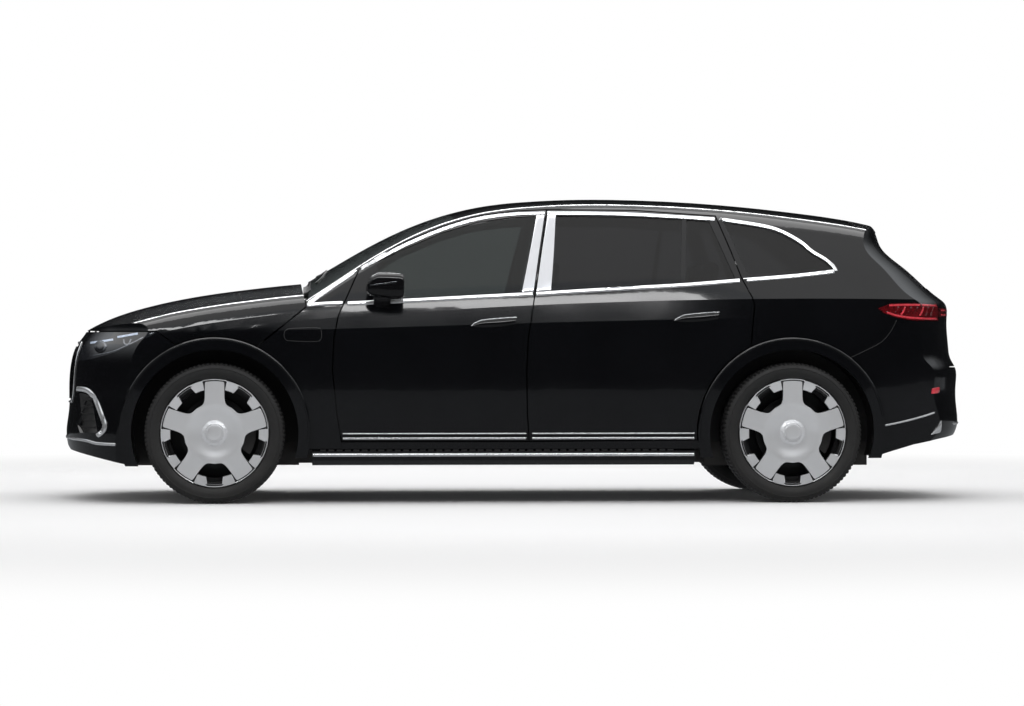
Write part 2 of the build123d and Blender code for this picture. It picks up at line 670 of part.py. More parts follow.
# Tailgate and tail
tailgate_blank = common(cabin_shell, front_prism(TAILGATE_BACK, ROOF_REAR, TAIL_X + 60))
tailgate = largest(
    cut(
        tailgate_blank,
        front_prism(REAR_GLASS_BACK, ROOF_REAR + 30, TAIL_X + 60),
        front_prism(BAND_BACK, TAIL_X - 190, TAIL_X + 60),
    )
)
rear_window = common(
    Solid.extrude(TAIL_FACE.moved(Location((-4, 0, 0))), Vector(-GLASS_THICKNESS, 0, 0)),
    front_prism(grown(REAR_GLASS_BACK, -FIT_GAP), ROOF_REAR + 30, TAIL_X + 60),
)
tail_light_band = largest(
    common(
        cabin_shell,
        front_prism(grown(BAND_BACK, -2 * FIT_GAP), TAIL_X - 189, TAIL_X + 60),
    )
)
tail_lamp_left = largest(
    cut(
        common(left_door_wall, side_prism(TAIL_LAMP_SIDE, -1100, 0)),
        tailgate_space,
    )
)
rear_bumper = largest(
    cut(
        common(cabin_shell, side_prism(REAR_BUMPER_SIDE, -1200, 1200)),
        tailgate_space,
        side_prism(REAR_RAMP, -1200, 1200),
        REAR_ARCH,
        other_side(REAR_ARCH),
    )
)
tail_buffers = [
    rod((TAIL_X - 75, y, TAILGATE_FOOT - 20), (TAIL_X - 75, y, TAILGATE_FOOT - FIT_GAP), BUFFER_RADIUS)
    for y in (-400, 400)
]
rear_bumper = joined(rear_bumper.fuse(*tail_buffers))


# Arches, sills and floor


def flank(start, end, low, high, outer, inner):
    """Piece of the left body side between two depths, from x start to end."""
    wires = []
    for i in range(7):
        x = start + (end - start) * i / 6
        levels = [low + (high - low) * k / 6 for k in range(7)]
        out_points = [(x, -side_half_width(x, z) + outer, z) for z in levels]
        in_points = [(x, -side_half_width(x, z) + inner, z) for z in levels]
        wires.append(
            Wire([
                Spline(*out_points), Line(out_points[-1], in_points[-1]), Spline(*in_points),
                Line(in_points[0], out_points[0]),
            ])
        )
    return Solid.make_loft(wires)


def below(axle_x, ahead, behind):
    """Everything on the left side below one height ahead of an axle and another behind it."""
    front = block((-4000, axle_x), (-1200, 0), (-400, ahead))
    rear = block((axle_x, 4000), (-1200, 0), (-400, behind))
    return [front, rear]


def arch_band(axle_x, outer, inner):
    """Body side round a wheel arch between two depths."""
    return flank(axle_x - TRIM_RADIUS - 5, axle_x + TRIM_RADIUS + 5, 190, 940, outer, inner)


def arch_trim(axle_x, ahead, behind):
    """Moulding that follows a wheel arch and stands proud of the body side."""
    band = arch_band(axle_x, -ARCH_FLARE, TRIM_DEPTH)
    outer = arch_space(axle_x, TRIM_RADIUS, 600)
    inner = arch_space(axle_x, ARCH_RADIUS, 500)
    return largest(cut(common(band, outer), inner, *below(axle_x, ahead, behind)))


def arch_liner(axle_x, inner, ahead, behind):
    """Wheelhouse: half pipe with an inner wall that ends above the control arms."""
    shell = arch_space(axle_x, ARCH_RADIUS + LINER_GAP + LINER_THICKNESS, inner, 990)
    space = arch_space(axle_x, ARCH_RADIUS + LINER_GAP, inner + LINER_THICKNESS, 1000)
    trim_zone = arch_band(axle_x, -60, TRIM_DEPTH + FIXED_GAP)
    arms = block((-4000, 4000), (-inner - LINER_THICKNESS - 1, 0), (-400, 330))
    return largest(cut(shell, space, trim_zone, arms, *below(axle_x, ahead, behind)))


arch_trims = both(joined(arch_trim(FRONT_X, 206, 252), arch_trim(REAR_X, 252, 245)))
arch_liners = both(joined(arch_liner(FRONT_X, 470, 214, 256), arch_liner(REAR_X, 640, 256, 256)))
BOARD_START = FRONT_X + TRIM_RADIUS + 10
BOARD_END = REAR_X - TRIM_RADIUS - 18
BATTERY_HALF_WIDTH = 670.0
BOARD_INNER = -BATTERY_HALF_WIDTH - FIT_GAP
BOARD_SECTION = [
    (BOARD_INNER, 232), (-905, 211), (-948, 238), (-958, 266), (-950, 288), (-905, 300), (BOARD_INNER, 300),
]
running_board_left = front_prism(BOARD_SECTION, BOARD_START, BOARD_END)

LOAD_FLOOR_HEIGHT = 590.0
load_floor_low = LOAD_FLOOR_HEIGHT - FLOOR_THICKNESS
floor_top = FLOOR_HEIGHT
floor_low = FLOOR_HEIGHT - FLOOR_THICKNESS
cabin_floor = block((COWL_X + 140, REAR_X - 560), (-745, 745), (floor_low, floor_top))
toe_board = side_prism(
    [
        (COWL_X + 6, 1040), (COWL_X + 20, 1040), (COWL_X + 20, 600), (COWL_X + 160, floor_top - 4),
        (COWL_X + 144, floor_low + 2), (COWL_X + 6, 596),
    ],
    -630,
    630,
)
rear_floor = side_prism(
    [
        (REAR_X - 580, floor_low + 2), (REAR_X - 500, floor_low + 2), (REAR_X - 424, load_floor_low),
        (TAIL_X - 190, load_floor_low), (TAIL_X - 190, LOAD_FLOOR_HEIGHT),
        (REAR_X - 434, LOAD_FLOOR_HEIGHT), (REAR_X - 510, floor_top - 2), (REAR_X - 580, floor_top - 2),
    ],
    -625,
    625,
)
floor_pan = joined(cabin_floor + toe_board + rear_floor)
BATTERY_FRONT = FRONT_X + 640
BATTERY_REAR = REAR_X - 560
battery_pack = block(
    (BATTERY_FRONT, BATTERY_REAR),
    (-BATTERY_HALF_WIDTH, BATTERY_HALF_WIDTH),
    (floor_low - BATTERY_HEIGHT, floor_low),
)
battery_pack = fillet(battery_pack.edges().filter_by(Axis.Z), 40)

# Running gear
drive_units = joined(
    fillet(block((FRONT_X - 265, FRONT_X + 265), (-270, 270), (250, 560)).edges(), 40),
    fillet(block((REAR_X - 265, REAR_X + 265), (-290, 290), (230, 520)).edges(), 40),
)


def subframe(axle_x, reach, beam_z, rail_start, rail_end):
    """Cross beams, rails that bolt to the battery case, and control arms out to the hub carriers."""
    pieces = []
    for offset in (-300, 300):
        beam = (axle_x + offset - 35, axle_x + offset + 35)
        pieces.append(block(beam, (-420, 420), (beam_z - 40, beam_z + 40)))
    for hand in (-1, 1):
        pieces.append(
            block((rail_start, rail_end), (hand * 360 - 30, hand * 360 + 30), (beam_z - 35, beam_z + 35))
        )
        for offset in (-150, 150):
            pieces.append(rod((axle_x + offset, hand * 365, beam_z), (axle_x, hand * reach, beam_z), 20))
    return joined(pieces[0].fuse(*pieces[1:]))


def tyre():
    """Plain tyre about the wheel's axis."""
    half = TYRE_WIDTH / 2
    profile = [
        (RIM_RADIUS + BEAD_GAP, half * 0.80), (RIM_RADIUS + 36, half), (TYRE_RADIUS - 18, half * 0.92),
        (TYRE_RADIUS, half * 0.66),
    ]
    profile = [*profile, *[(r, -y) for r, y in reversed(profile)]]
    face = Face(Wire.make_polygon([Vector(r, y, 0) for r, y in profile]))
    return Solid.revolve(face, 360, Axis.Y)


def wheel():
    """Rim with five broad spokes, dished centre, ring pads and the brake disc, outer side at -Y."""
    half = RIM_WIDTH / 2
    barrel = [
        (RIM_RADIUS, -half), (RIM_RADIUS, -half + 10), (RIM_RADIUS - 17, -half + 16),
        (RIM_RADIUS - 17, -half + 60),
        (RIM_RADIUS - 40, -half + 76), (RIM_RADIUS - 40, half - 50), (RIM_RADIUS - 17, half - 40),
        (RIM_RADIUS - 17, half - 10), (RIM_RADIUS - 4, half), (RIM_RADIUS - 24, half),
        (RIM_RADIUS - 50, half - 40),
        (RIM_RADIUS - 50, -half + 66), (RIM_RADIUS - 24, -half + 40), (RIM_RADIUS - 12, -half),
    ]
    rim = Solid.revolve(Face(Wire.make_polygon([Vector(r, y, 0) for r, y in barrel])), 360, Axis.Y)
    dish = [
        (0, -half + 34), (48, -half + 34), (62, -half + 27), (DISH_RADIUS, -half + 20),
        (RIM_RADIUS - 14, -half + 2),
        (RIM_RADIUS - 14, -half + 34), (DISH_RADIUS, -half + 58), (HUB_RADIUS, -half + 84), (0, -half + 84),
    ]
    disc = Solid.revolve(Face(Wire.make_polygon([Vector(r, y, 0) for r, y in dish])), 360, Axis.Y)
    inner = DISH_RADIUS - 3
    outer = RIM_RADIUS - 27
    step = 360 / SPOKE_COUNT
    windows = []
    for i in range(SPOKE_COUNT):
        middle = 90 + step * (i + 0.5)
        spread_in = step / 2 - degrees(asin(SPOKE_WIDTH / 2 / inner)) * 0.92
        spread_out = step / 2 - degrees(asin(SPOKE_WIDTH / 2 / outer))
        edge = [
            *arc_points((0, 0), inner, middle - spread_in, middle + spread_in, 4),
            *arc_points((0, 0), outer - 28, middle + spread_out - 1, middle + spread_out - 13, 2),
            *arc_points((0, 0), outer, middle + spread_out - 15, middle - spread_out + 15, 6),
            *arc_points((0, 0), outer - 28, middle - spread_out + 13, middle - spread_out + 1, 2),
        ]
        windows.append(side_prism(edge, -half - 20, -half + 61))
    rotor = Solid.make_cylinder(DISC_RADIUS, DISC_THICKNESS, Plane((0, DISC_OFFSET, 0), z_dir=(0, 1, 0)))
    hat = Solid.make_cylinder(HUB_RADIUS - 8, 40, Plane((0, -half + 80, 0), z_dir=(0, 1, 0)))
    bore_radius = STUB_RADIUS + RUNNING_CLEARANCE
    bore_plane = Plane((0, DISC_OFFSET + DISC_THICKNESS - STUB_LENGTH - 5, 0), z_dir=(0, 1, 0))
    bore = Solid.make_cylinder(bore_radius, STUB_LENGTH + 20, bore_plane)
    return joined(disc.fuse(rim).fuse(rotor, hat).cut(*windows, bore))


tyre_blank = tyre()
wheel_blank = wheel()


def placed(shape, axle_x, track):
    """A wheel's piece at its place on the left side."""
    return shape.moved(Location((axle_x, -track / 2, TYRE_RADIUS)))


def hub_carrier(axle_x, track, foot):
    """Hub carrier with its brake caliper, inboard of a left wheel. The foot is the post's lower end."""
    disc_y = -track / 2 + DISC_OFFSET
    hub_y = disc_y + DISC_THICKNESS + 8
    stub_plane = Plane((axle_x, hub_y + 20, TYRE_RADIUS), z_dir=(0, -1, 0))
    stub = Solid.make_cylinder(STUB_RADIUS, STUB_LENGTH + 30, stub_plane)
    centre = (axle_x, TYRE_RADIUS)
    hub = Solid.make_cylinder(62, 60, Plane((axle_x, hub_y, TYRE_RADIUS), z_dir=(0, 1, 0)))
    post = block((axle_x - 28, axle_x + 28), (hub_y + 1, hub_y + 52), (foot, 510))
    bridge = arc_points(centre, DISC_RADIUS + 32, -32, 32, 6)
    inside = arc_points(centre, 128, 28, -28, 4)
    caliper = side_prism([*bridge, *inside], disc_y - 22, disc_y + DISC_THICKNESS + 40)
    slot_plane = Plane((axle_x, disc_y - 6, TYRE_RADIUS), z_dir=(0, 1, 0))
    caliper = cut(caliper, Solid.make_cylinder(DISC_RADIUS + 8, DISC_THICKNESS + 12, slot_plane))
    arm = block((axle_x, axle_x + 175), (hub_y + 12, hub_y + 44), (TYRE_RADIUS - 30, TYRE_RADIUS + 30))
    return joined(hub.fuse(post, caliper, arm, stub))


BEAM_HEIGHT = 242.0
KINGPIN_Y = FRONT_TRACK / 2 - KINGPIN_OFFSET
kingpin_low = (FRONT_X, -KINGPIN_Y, BEAM_HEIGHT)
kingpin_high = (FRONT_X, -KINGPIN_Y, BEAM_HEIGHT + 70)
kingpin = rod(kingpin_low, kingpin_high, KINGPIN_RADIUS)
kingpin_bore = rod(kingpin_low, (FRONT_X, -KINGPIN_Y, BEAM_HEIGHT + 76), KINGPIN_RADIUS + RUNNING_CLEARANCE)
knuckle = cut(hub_carrier(FRONT_X, FRONT_TRACK, BEAM_HEIGHT + 28), kingpin_bore)
rear_carrier = hub_carrier(REAR_X, REAR_TRACK, BEAM_HEIGHT - 15)
front_subframe = subframe(FRONT_X, KINGPIN_Y, BEAM_HEIGHT, FRONT_X - 270, BATTERY_FRONT - FIT_GAP)
front_subframe = joined(front_subframe.fuse(kingpin, other_side(kingpin)))
rear_subframe = subframe(REAR_X, REAR_TRACK / 2 - 50, BEAM_HEIGHT, BATTERY_REAR + FIT_GAP, REAR_X + 270)
rear_subframe = joined(rear_subframe.fuse(rear_carrier, other_side(rear_carrier)))


# Interior
dash_section = [
    (COWL_X + 20, 1030), (COWL_X + 200, 1075), (COWL_X + 420, 1045), (COWL_X + 470, 985), (COWL_X + 440, 840),
    (COWL_X + 330, 700), (COWL_X + 20, 690),
]
dashboard = fillet(side_prism(dash_section, -700, 700).edges().filter_by(Axis.Y), 24)


def seat(x, y, width):
    """Seat cushion, leaning back and headrest."""
    base = FLOOR_HEIGHT
    cushion = [(x, base + 150), (x - 20, base + 300), (x + 420, base + 260), (x + 460, base + 130)]
    back = [(x + 410, base + 200), (x + 590, base + 830), (x + 690, base + 810), (x + 560, base + 160)]
    rest = [(x + 600, base + 850), (x + 630, base + 1010), (x + 710, base + 1000), (x + 690, base + 845)]
    leg = [(x + 60, base), (x + 80, base + 190), (x + 400, base + 190), (x + 430, base)]
    posts = [(x + 625, base + 800), (x + 640, base + 880), (x + 665, base + 880), (x + 650, base + 800)]
    pieces = [
        side_prism(cushion, y - width / 2, y + width / 2), side_prism(back, y - width / 2, y + width / 2),
        side_prism(leg, y - width / 2 + 60, y + width / 2 - 60),
        side_prism(posts, y - 60, y + 60),
        side_prism(rest, y - 140, y + 140),
    ]
    shape = pieces[0]
    for piece in pieces[1:]:
        shape = joined(shape + piece)
    return shape


front_seats = both(seat(FRONT_X + 1240, -370, 520))
rear_seats = both(seat(FRONT_X + 2150, -375, 560))
WHEEL_CENTRE = Vector(COWL_X + 560, -370, 985)
WHEEL_AXIS = Vector(1, 0, 0.42)
wheel_plane = Plane(origin=WHEEL_CENTRE, x_dir=(0, 1, 0), z_dir=WHEEL_AXIS)
steering_ring = Solid.make_torus(178, 15, wheel_plane)
steering_hub = Solid.make_cylinder(58, 46, wheel_plane.offset(-30))
column = Solid.make_cylinder(COLUMN_RADIUS, 150, wheel_plane.offset(-180))
spokes = []
for angle in (0, 180, 270):
    tip = wheel_plane.from_local_coords(Vector(170 * cos(radians(angle)), 170 * sin(radians(angle)), 0))
    spokes.append(rod(tuple(wheel_plane.origin), tuple(tip), 12))
steering_wheel = joined(steering_hub.fuse(column, *spokes, steering_ring))
bay = Solid.make_cylinder(COLUMN_RADIUS + FIT_GAP, 220, wheel_plane.offset(-200))
dashboard = largest(cut(dashboard, bay))

# One file for each piece
NODES = {
    "floor_pan": floor_pan,
    "body_sides": both(body_side_left),
    "roof_panel": roof_panel,
    "cowl_panel": cowl_panel,
    "front_bumper": front_bumper,
    "rear_bumper": rear_bumper,
    "front_fenders": both(fender_left),
    "windscreen": windscreen,
    "quarter_glass": both(quarter_pane),
    "headlamps": both(headlamp_left),
    "tail_lamps": both(tail_lamp_left),
    "grille": grille,
    "running_boards": both(running_board_left),
    "arch_trims": arch_trims,
    "arch_liners": arch_liners,
    "battery_pack": battery_pack,
    "drive_units": drive_units,
    "front_subframe": front_subframe,
    "rear_subframe": rear_subframe,
    "dashboard": dashboard,
    "front_seats": front_seats,
    "rear_seats": rear_seats,
    "bonnet": bonnet,
    "tailgate": tailgate,
    "rear_window": rear_window,
    "tail_light_band": tail_light_band,
    "door_left_front": door_left_front,
    "door_left_rear": door_left_rear,
    "door_right_front": other_side(door_left_front),
    "door_right_rear": other_side(door_left_rear),
    "glass_left_front": front_pane,
    "glass_left_rear": joined(rear_pane, rear_small_pane),
    "glass_right_front": other_side(front_pane),
    "glass_right_rear": other_side(joined(rear_pane, rear_small_pane)),
    "mirror_left": mirror_left,
    "mirror_right": other_side(mirror_left),
    "knuckle_left": knuckle,
    "knuckle_right": other_side(knuckle),
    "steering_wheel": steering_wheel,
}
for corner_name, axle, track in (("front", FRONT_X, FRONT_TRACK), ("rear", REAR_X, REAR_TRACK)):
    for piece_name, blank in (("tyre", tyre_blank), ("wheel", wheel_blank)):
        left_piece = placed(blank, axle, track)
        NODES[f"{piece_name}_left_{corner_name}"] = left_piece
        NODES[f"{piece_name}_right_{corner_name}"] = other_side(left_piece)

if __name__ == "__main__":
    os.makedirs("parts", exist_ok=True)
    for name, shape in NODES.items():
        export_step(shape, f"parts/{name}.step")
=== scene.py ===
"""Looks of the electric luxury sport utility vehicle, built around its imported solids.

Front is -X, the left side is -Y and +Z is up. All lengths are in metres.
"""
import json
import logging
import math
from dataclasses import dataclass, field
from enum import Enum
from typing import Callable, Dict, List, Optional, Sequence, Tuple

import bpy
from mathutils import Matrix, Vector
from mathutils.bvhtree import BVHTree


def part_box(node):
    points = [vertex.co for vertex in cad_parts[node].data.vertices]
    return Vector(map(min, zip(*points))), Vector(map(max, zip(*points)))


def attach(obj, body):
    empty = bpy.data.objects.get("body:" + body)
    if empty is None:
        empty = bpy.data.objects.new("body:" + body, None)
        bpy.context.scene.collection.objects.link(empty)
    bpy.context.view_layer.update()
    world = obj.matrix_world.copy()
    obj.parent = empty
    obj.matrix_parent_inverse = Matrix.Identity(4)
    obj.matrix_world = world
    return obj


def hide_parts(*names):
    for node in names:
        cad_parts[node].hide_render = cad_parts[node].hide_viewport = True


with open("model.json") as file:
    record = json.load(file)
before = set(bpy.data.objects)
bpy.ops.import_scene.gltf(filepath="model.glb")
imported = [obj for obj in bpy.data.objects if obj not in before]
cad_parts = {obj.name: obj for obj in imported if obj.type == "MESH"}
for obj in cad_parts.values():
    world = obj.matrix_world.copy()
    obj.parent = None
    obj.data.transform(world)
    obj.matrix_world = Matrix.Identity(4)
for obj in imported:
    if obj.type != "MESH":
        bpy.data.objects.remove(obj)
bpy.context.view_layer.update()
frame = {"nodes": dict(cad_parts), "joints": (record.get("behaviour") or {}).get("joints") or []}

LOG = logging.getLogger("vehicle")
NODES: Dict[str, bpy.types.Object] = frame["nodes"]
JOINTS = {joint["name"]: joint for joint in frame["joints"]}
FRONT_AXLE = JOINTS["spin_left_front"]["pos_m"][0]
REAR_AXLE = JOINTS["spin_left_rear"]["pos_m"][0]
AXLE_HEIGHT = JOINTS["spin_left_front"]["pos_m"][2]
MM = 0.001
FAR = 4.0
Point = Tuple[float, float]
Color = Tuple[float, float, float]


class Side(Enum):
    """The two sides of the vehicle, by the sign of Y."""

    LEFT = -1
    RIGHT = 1

    @property
    def word(self) -> str:
        """The side's name in piece and body names."""
        return self.name.lower()


# Working with Blender's tools


def pick(obj: bpy.types.Object) -> None:
    """Selects one object alone and makes it active."""
    if bpy.context.mode != "OBJECT":
        bpy.ops.object.mode_set(mode="OBJECT")
    bpy.ops.object.select_all(action="DESELECT")
    obj.select_set(True)
    bpy.context.view_layer.objects.active = obj


def fresh(name: str) -> bpy.types.Object:
    """Takes the primitive that was just added and names it and its mesh."""
    obj = bpy.context.active_object
    obj.name = name
    obj.data.name = name
    return obj


def clear_selection() -> None:
    """Leaves nothing selected, so that an operator acts on the new piece only."""
    if bpy.context.mode != "OBJECT":
        bpy.ops.object.mode_set(mode="OBJECT")
    bpy.ops.object.select_all(action="DESELECT")


def apply_modifiers(obj: bpy.types.Object) -> None:
    """Applies every modifier of a piece, in order."""
    pick(obj)
    for modifier in list(obj.modifiers):
        bpy.ops.object.modifier_apply(modifier=modifier.name)


def settle(obj: bpy.types.Object) -> None:
    """Moves a piece's place, turn and scale into its mesh."""
    pick(obj)
    bpy.ops.object.transform_apply(location=True, rotation=True, scale=True)


def merge(obj: bpy.types.Object, distance: float = 1e-5, outward: bool = True) -> None:
    """Joins doubled points and turns the faces outwards.

    Args:
        obj: the piece.
        distance: points closer than this become one.
        outward: whether the normals are worked out again.
    """
    pick(obj)
    bpy.ops.object.mode_set(mode="EDIT")
    bpy.ops.mesh.select_all(action="SELECT")
    bpy.ops.mesh.remove_doubles(threshold=distance)
    if outward:
        bpy.ops.mesh.normals_make_consistent(inside=False)
    bpy.ops.object.mode_set(mode="OBJECT")


def flip(obj: bpy.types.Object) -> None:
    """Turns every face of a piece round."""
    pick(obj)
    bpy.ops.object.mode_set(mode="EDIT")
    bpy.ops.mesh.select_all(action="SELECT")
    bpy.ops.mesh.flip_normals()
    bpy.ops.object.mode_set(mode="OBJECT")


def smooth(obj: bpy.types.Object, degrees: float = 35.0) -> None:
    """Shades a piece smooth, with edges sharper than the angle kept."""
    pick(obj)
    bpy.ops.object.shade_smooth_by_angle(angle=math.radians(degrees))


def round_edges(obj: bpy.types.Object, width: float, segments: int = 2, degrees: float = 40.0) -> None:
    """Rounds the edges of a piece that are sharper than an angle.

    Args:
        obj: the piece.
        width: the bevel's width.
        segments: faces across the bevel.
        degrees: the angle from which an edge counts as sharp.
    """
    bevel = obj.modifiers.new("edge", "BEVEL")
    bevel.width = width
    bevel.segments = segments
    bevel.limit_method = "ANGLE"
    bevel.angle_limit = math.radians(degrees)
    bevel.harden_normals = False
    apply_modifiers(obj)


def thicken(obj: bpy.types.Object, depth: float) -> None:
    """Gives a sheet a thickness behind its faces."""
    wall = obj.modifiers.new("wall", "SOLIDIFY")
    wall.thickness = depth
    wall.offset = -1.0
    apply_modifiers(obj)


def subdivide(obj: bpy.types.Object, levels: int) -> None:
    """Applies a subdivision surface."""
    surface = obj.modifiers.new("surface", "SUBSURF")
    surface.levels = levels
    surface.render_levels = levels
    apply_modifiers(obj)


def wrapped_grid(
    name: str, columns: int, rows: int, place: Callable[[float, float], Vector]
) -> bpy.types.Object:
    """Adds a grid and moves each point to where its two shares put it.

    Args:
        name: the piece's name.
        columns: faces along the first share.
        rows: faces along the second share.
        place: gives a point from its two shares, each from 0 to 1.

    Returns:
        The new object.
    """
    clear_selection()
    bpy.ops.mesh.primitive_grid_add(x_subdivisions=columns, y_subdivisions=rows, size=2.0)
    obj = fresh(name)
    for vertex in obj.data.vertices:
        vertex.co = place((vertex.co.x + 1) / 2, (vertex.co.y + 1) / 2)
    obj.data.update()
    return obj


def turned(
    name: str, profile: Sequence[Point], centre: Vector, steps: int, side: Side
) -> bpy.types.Object:
    """Spins a profile about a line along Y.

    Args:
        name: the piece's name.
        profile: (radius, distance outwards from the centre) points.
        centre: a point of the axis.
        steps: faces round the axis.
        side: the side whose outside the profile's distances count towards.

    Returns:
        The new object, closed where the profile is.
    """
    last = len(profile) - 1

    def place(u: float, v: float) -> Vector:
        """A point of the turned skin, by its shares round and along the profile."""
        radius, out = profile[round(v * last)]
        angle = 2 * math.pi * u
        return centre + Vector((radius * math.sin(angle), side.value * out, radius * math.cos(angle)))

    obj = wrapped_grid(name, steps, last, place)
    merge(obj)
    return obj


def rounded_block(
    name: str, size: Sequence[float], centre: Sequence[float], bevel: float, segments: int = 3,
    turn: Optional[Matrix] = None,
) -> bpy.types.Object:
    """A block with rounded edges.

    Args:
        name: the piece's name.
        size: its three lengths.
        centre: where its middle is.
        bevel: the radius of its edges.
        segments: faces across each edge.
        turn: a rotation about its middle.

    Returns:
        The new object, with its place in its mesh.
    """
    clear_selection()
    bpy.ops.mesh.primitive_cube_add(size=1.0)
    obj = fresh(name)
    obj.scale = size
    settle(obj)
    round_edges(obj, bevel, segments)
    if turn is not None:
        obj.data.transform(turn)
    obj.data.transform(Matrix.Translation(Vector(centre)))
    smooth(obj)
    return obj


def mirrored(obj: bpy.types.Object, name: str) -> bpy.types.Object:
    """Copies a piece to the other side of the vehicle, with a mesh of its own."""
    pick(obj)
    bpy.ops.object.duplicate(linked=False)
    copy = fresh(name)
    copy.data.transform(Matrix.Diagonal((1, -1, 1, 1)))
    flip(copy)
    return copy


def joined(name: str, pieces: Sequence[bpy.types.Object]) -> bpy.types.Object:
    """Joins several meshes into one piece."""
    pick(pieces[0])
    for other in pieces[1:]:
        other.select_set(True)
    if len(pieces) > 1:
        bpy.ops.object.join()
    return fresh(name)


# Lines on the body skin


@dataclass
class Rail:
    """A smooth line through points of a view, walked by its share of length."""

    points: Sequence[Point]
    fine: int = 12
    walked: List[Tuple[float, Vector]] = field(init=False)

    def __post_init__(self) -> None:
        """Samples the line once, so that it can be walked evenly."""
        ends = [Vector(p) for p in self.points]
        full = [2 * ends[0] - ends[1], *ends, 2 * ends[-1] - ends[-2]]
        samples: List[Vector] = []
        for a, b, c, d in zip(full, full[1:], full[2:], full[3:]):
            for step in range(self.fine):
                t = step / self.fine
                samples.append(
                    0.5 * (2 * b + (c - a) * t + (2 * a - 5 * b + 4 * c - d) * t * t
                           + (3 * b - a - 3 * c + d) * t ** 3)
                )
        samples.append(ends[-1])
        total = 0.0
        self.walked = [(0.0, samples[0])]
        for before, after in zip(samples, samples[1:]):
            total += (after - before).length
            self.walked.append((total, after))

    @property
    def length(self) -> float:
        """The whole length of the line."""
        return self.walked[-1][0]

    def at(self, share: float) -> Vector:
        """The point at a share of the line's length."""
        goal = min(max(share, 0.0), 1.0) * self.length
        for (low, a), (high, b) in zip(self.walked, self.walked[1:]):
            if goal <= high:
                return a.lerp(b, (goal - low) / max(high - low, 1e-9))
        return self.walked[-1][1]

    def across(self, share: float) -> Vector:
        """The unit direction square to the line, to its left."""
        step = 0.5 / len(self.walked)
        along = (self.at(share + step) - self.at(share - step)).normalized()
        return Vector((-along.y, along.x))


@dataclass(frozen=True)
class View:
    """A way to look at the vehicle: two measures give a line of sight towards it."""

    name: str
    sight: Callable[[float, float], Tuple[Vector, Vector]]


def wrap_sight(centre_x: float, ahead: int, radius: float) -> Callable[[float, float], Tuple[Vector, Vector]]:
    """Lines of sight that go round one end of the vehicle.

    Args:
        centre_x: the place of the upright axis that they all meet.
        ahead: -1 for the nose, 1 for the tail.
        radius: the distance at which a measure along the bend counts as a length.

    Returns:
        A function from (length round the bend, height) to a line of sight. Length 0 is the middle plane, and
        it grows to the left side.
    """

    def sight(a: float, b: float) -> Tuple[Vector, Vector]:
        """The start and direction of one line of sight."""
        out = Vector((ahead * math.cos(a / radius), -math.sin(a / radius), 0.0))
        return Vector((centre_x, 0.0, b)) + out * FAR, -out

    return sight


LEFT_VIEW = View("left", lambda a, b: (Vector((a, -FAR, b)), Vector((0, 1, 0))))
FRONT_VIEW = View("front", lambda a, b: (Vector((-FAR, a, b)), Vector((1, 0, 0))))
REAR_VIEW = View("rear", lambda a, b: (Vector((FAR, a, b)), Vector((-1, 0, 0))))
TOP_VIEW = View("top", lambda a, b: (Vector((a, b, FAR)), Vector((0, 0, -1))))
NOSE_WRAP = View("nose", wrap_sight(FRONT_AXLE - 0.20, -1, 0.75))
TAIL_WRAP = View("tail", wrap_sight(REAR_AXLE + 0.35, 1, 0.75))


class Skin:
    """The outside of some CAD nodes, as something to lay pieces on."""

    def __init__(self, *names: str) -> None:
        """Reads the meshes of the named nodes."""
        self.trees = []
        for name in names:
            mesh = NODES[name].data
            corners = [v.co for v in mesh.vertices]
            self.trees.append(BVHTree.FromPolygons(corners, [p.vertices for p in mesh.polygons]))

    def hit(self, view: View, a: float, b: float) -> Optional[Tuple[Vector, Vector]]:
        """The first point of the skin on a line of sight.

        Args:
            view: the way of looking.
            a: its first measure.
            b: its second measure.

        Returns:
            The point and the outward normal there, or None where the sight meets nothing.
        """
        origin, direction = view.sight(a, b)
        best = None
        for tree in self.trees:
            point, normal, _, distance = tree.ray_cast(origin, direction)
            if point is not None and (best is None or distance < best[0]):
                best = (distance, point, normal)
        if best is None:
            return None
        normal = best[2] if best[2].dot(direction) < 0 else -best[2]
        return best[1], normal


@dataclass
class Band:
    """A strip between two lines on the skin."""

    name: str
    skin: Skin
    view: View
    low: Rail
    high: Rail
    proud: float = 0.003
    depth: float = 0.007
    crown: float = 0.0
    edge: float = 0.001
    pitch: float = 0.02
    rows: int = 4

    def make(self) -> bpy.types.Object:
        """Lays the strip on the skin, gives it thickness and rounds its edges.

        Returns:
            The new object.
        """

        def place(u: float, v: float) -> Vector:
            """A point of the strip's outer face."""
            point, normal = self.seat(u, v)
            return point + normal * (self.proud + self.crown * (1 - (2 * v - 1) ** 2))

        columns = max(4, round(max(self.low.length, self.high.length) / self.pitch))
        obj = wrapped_grid(self.name, columns, self.rows, place)
        _, direction = self.view.sight(*self.low.at(0.5))
        facing = sum((p.normal * p.area for p in obj.data.polygons), Vector())
        if facing.dot(direction) > 0:
            flip(obj)
        thicken(obj, self.depth)
        if self.edge:
            round_edges(obj, self.edge)
        smooth(obj)
        return obj

    def seat(self, u: float, v: float) -> Tuple[Vector, Vector]:
        """Where the strip lies on the skin, and the normal there.

        Args:
            u: the share along the strip.
            v: the share across it.

        Returns:
            The point and normal. Past the skin's edge, the depth of the nearest skin along the strip is kept.
        """
        spot = self.low.at(u).lerp(self.high.at(u), v)
        origin, direction = self.view.sight(spot.x, spot.y)
        shares = sorted((step / 24 for step in range(25)), key=lambda share: abs(share - u))
        for near in (spot, *(self.low.at(share).lerp(self.high.at(share), 0.5) for share in shares)):
            found = self.skin.hit(self.view, near.x, near.y)
            if found is not None:
                return origin + direction * (found[0] - origin).dot(direction), found[1]
        raise ValueError(f"{self.name} misses its skin")


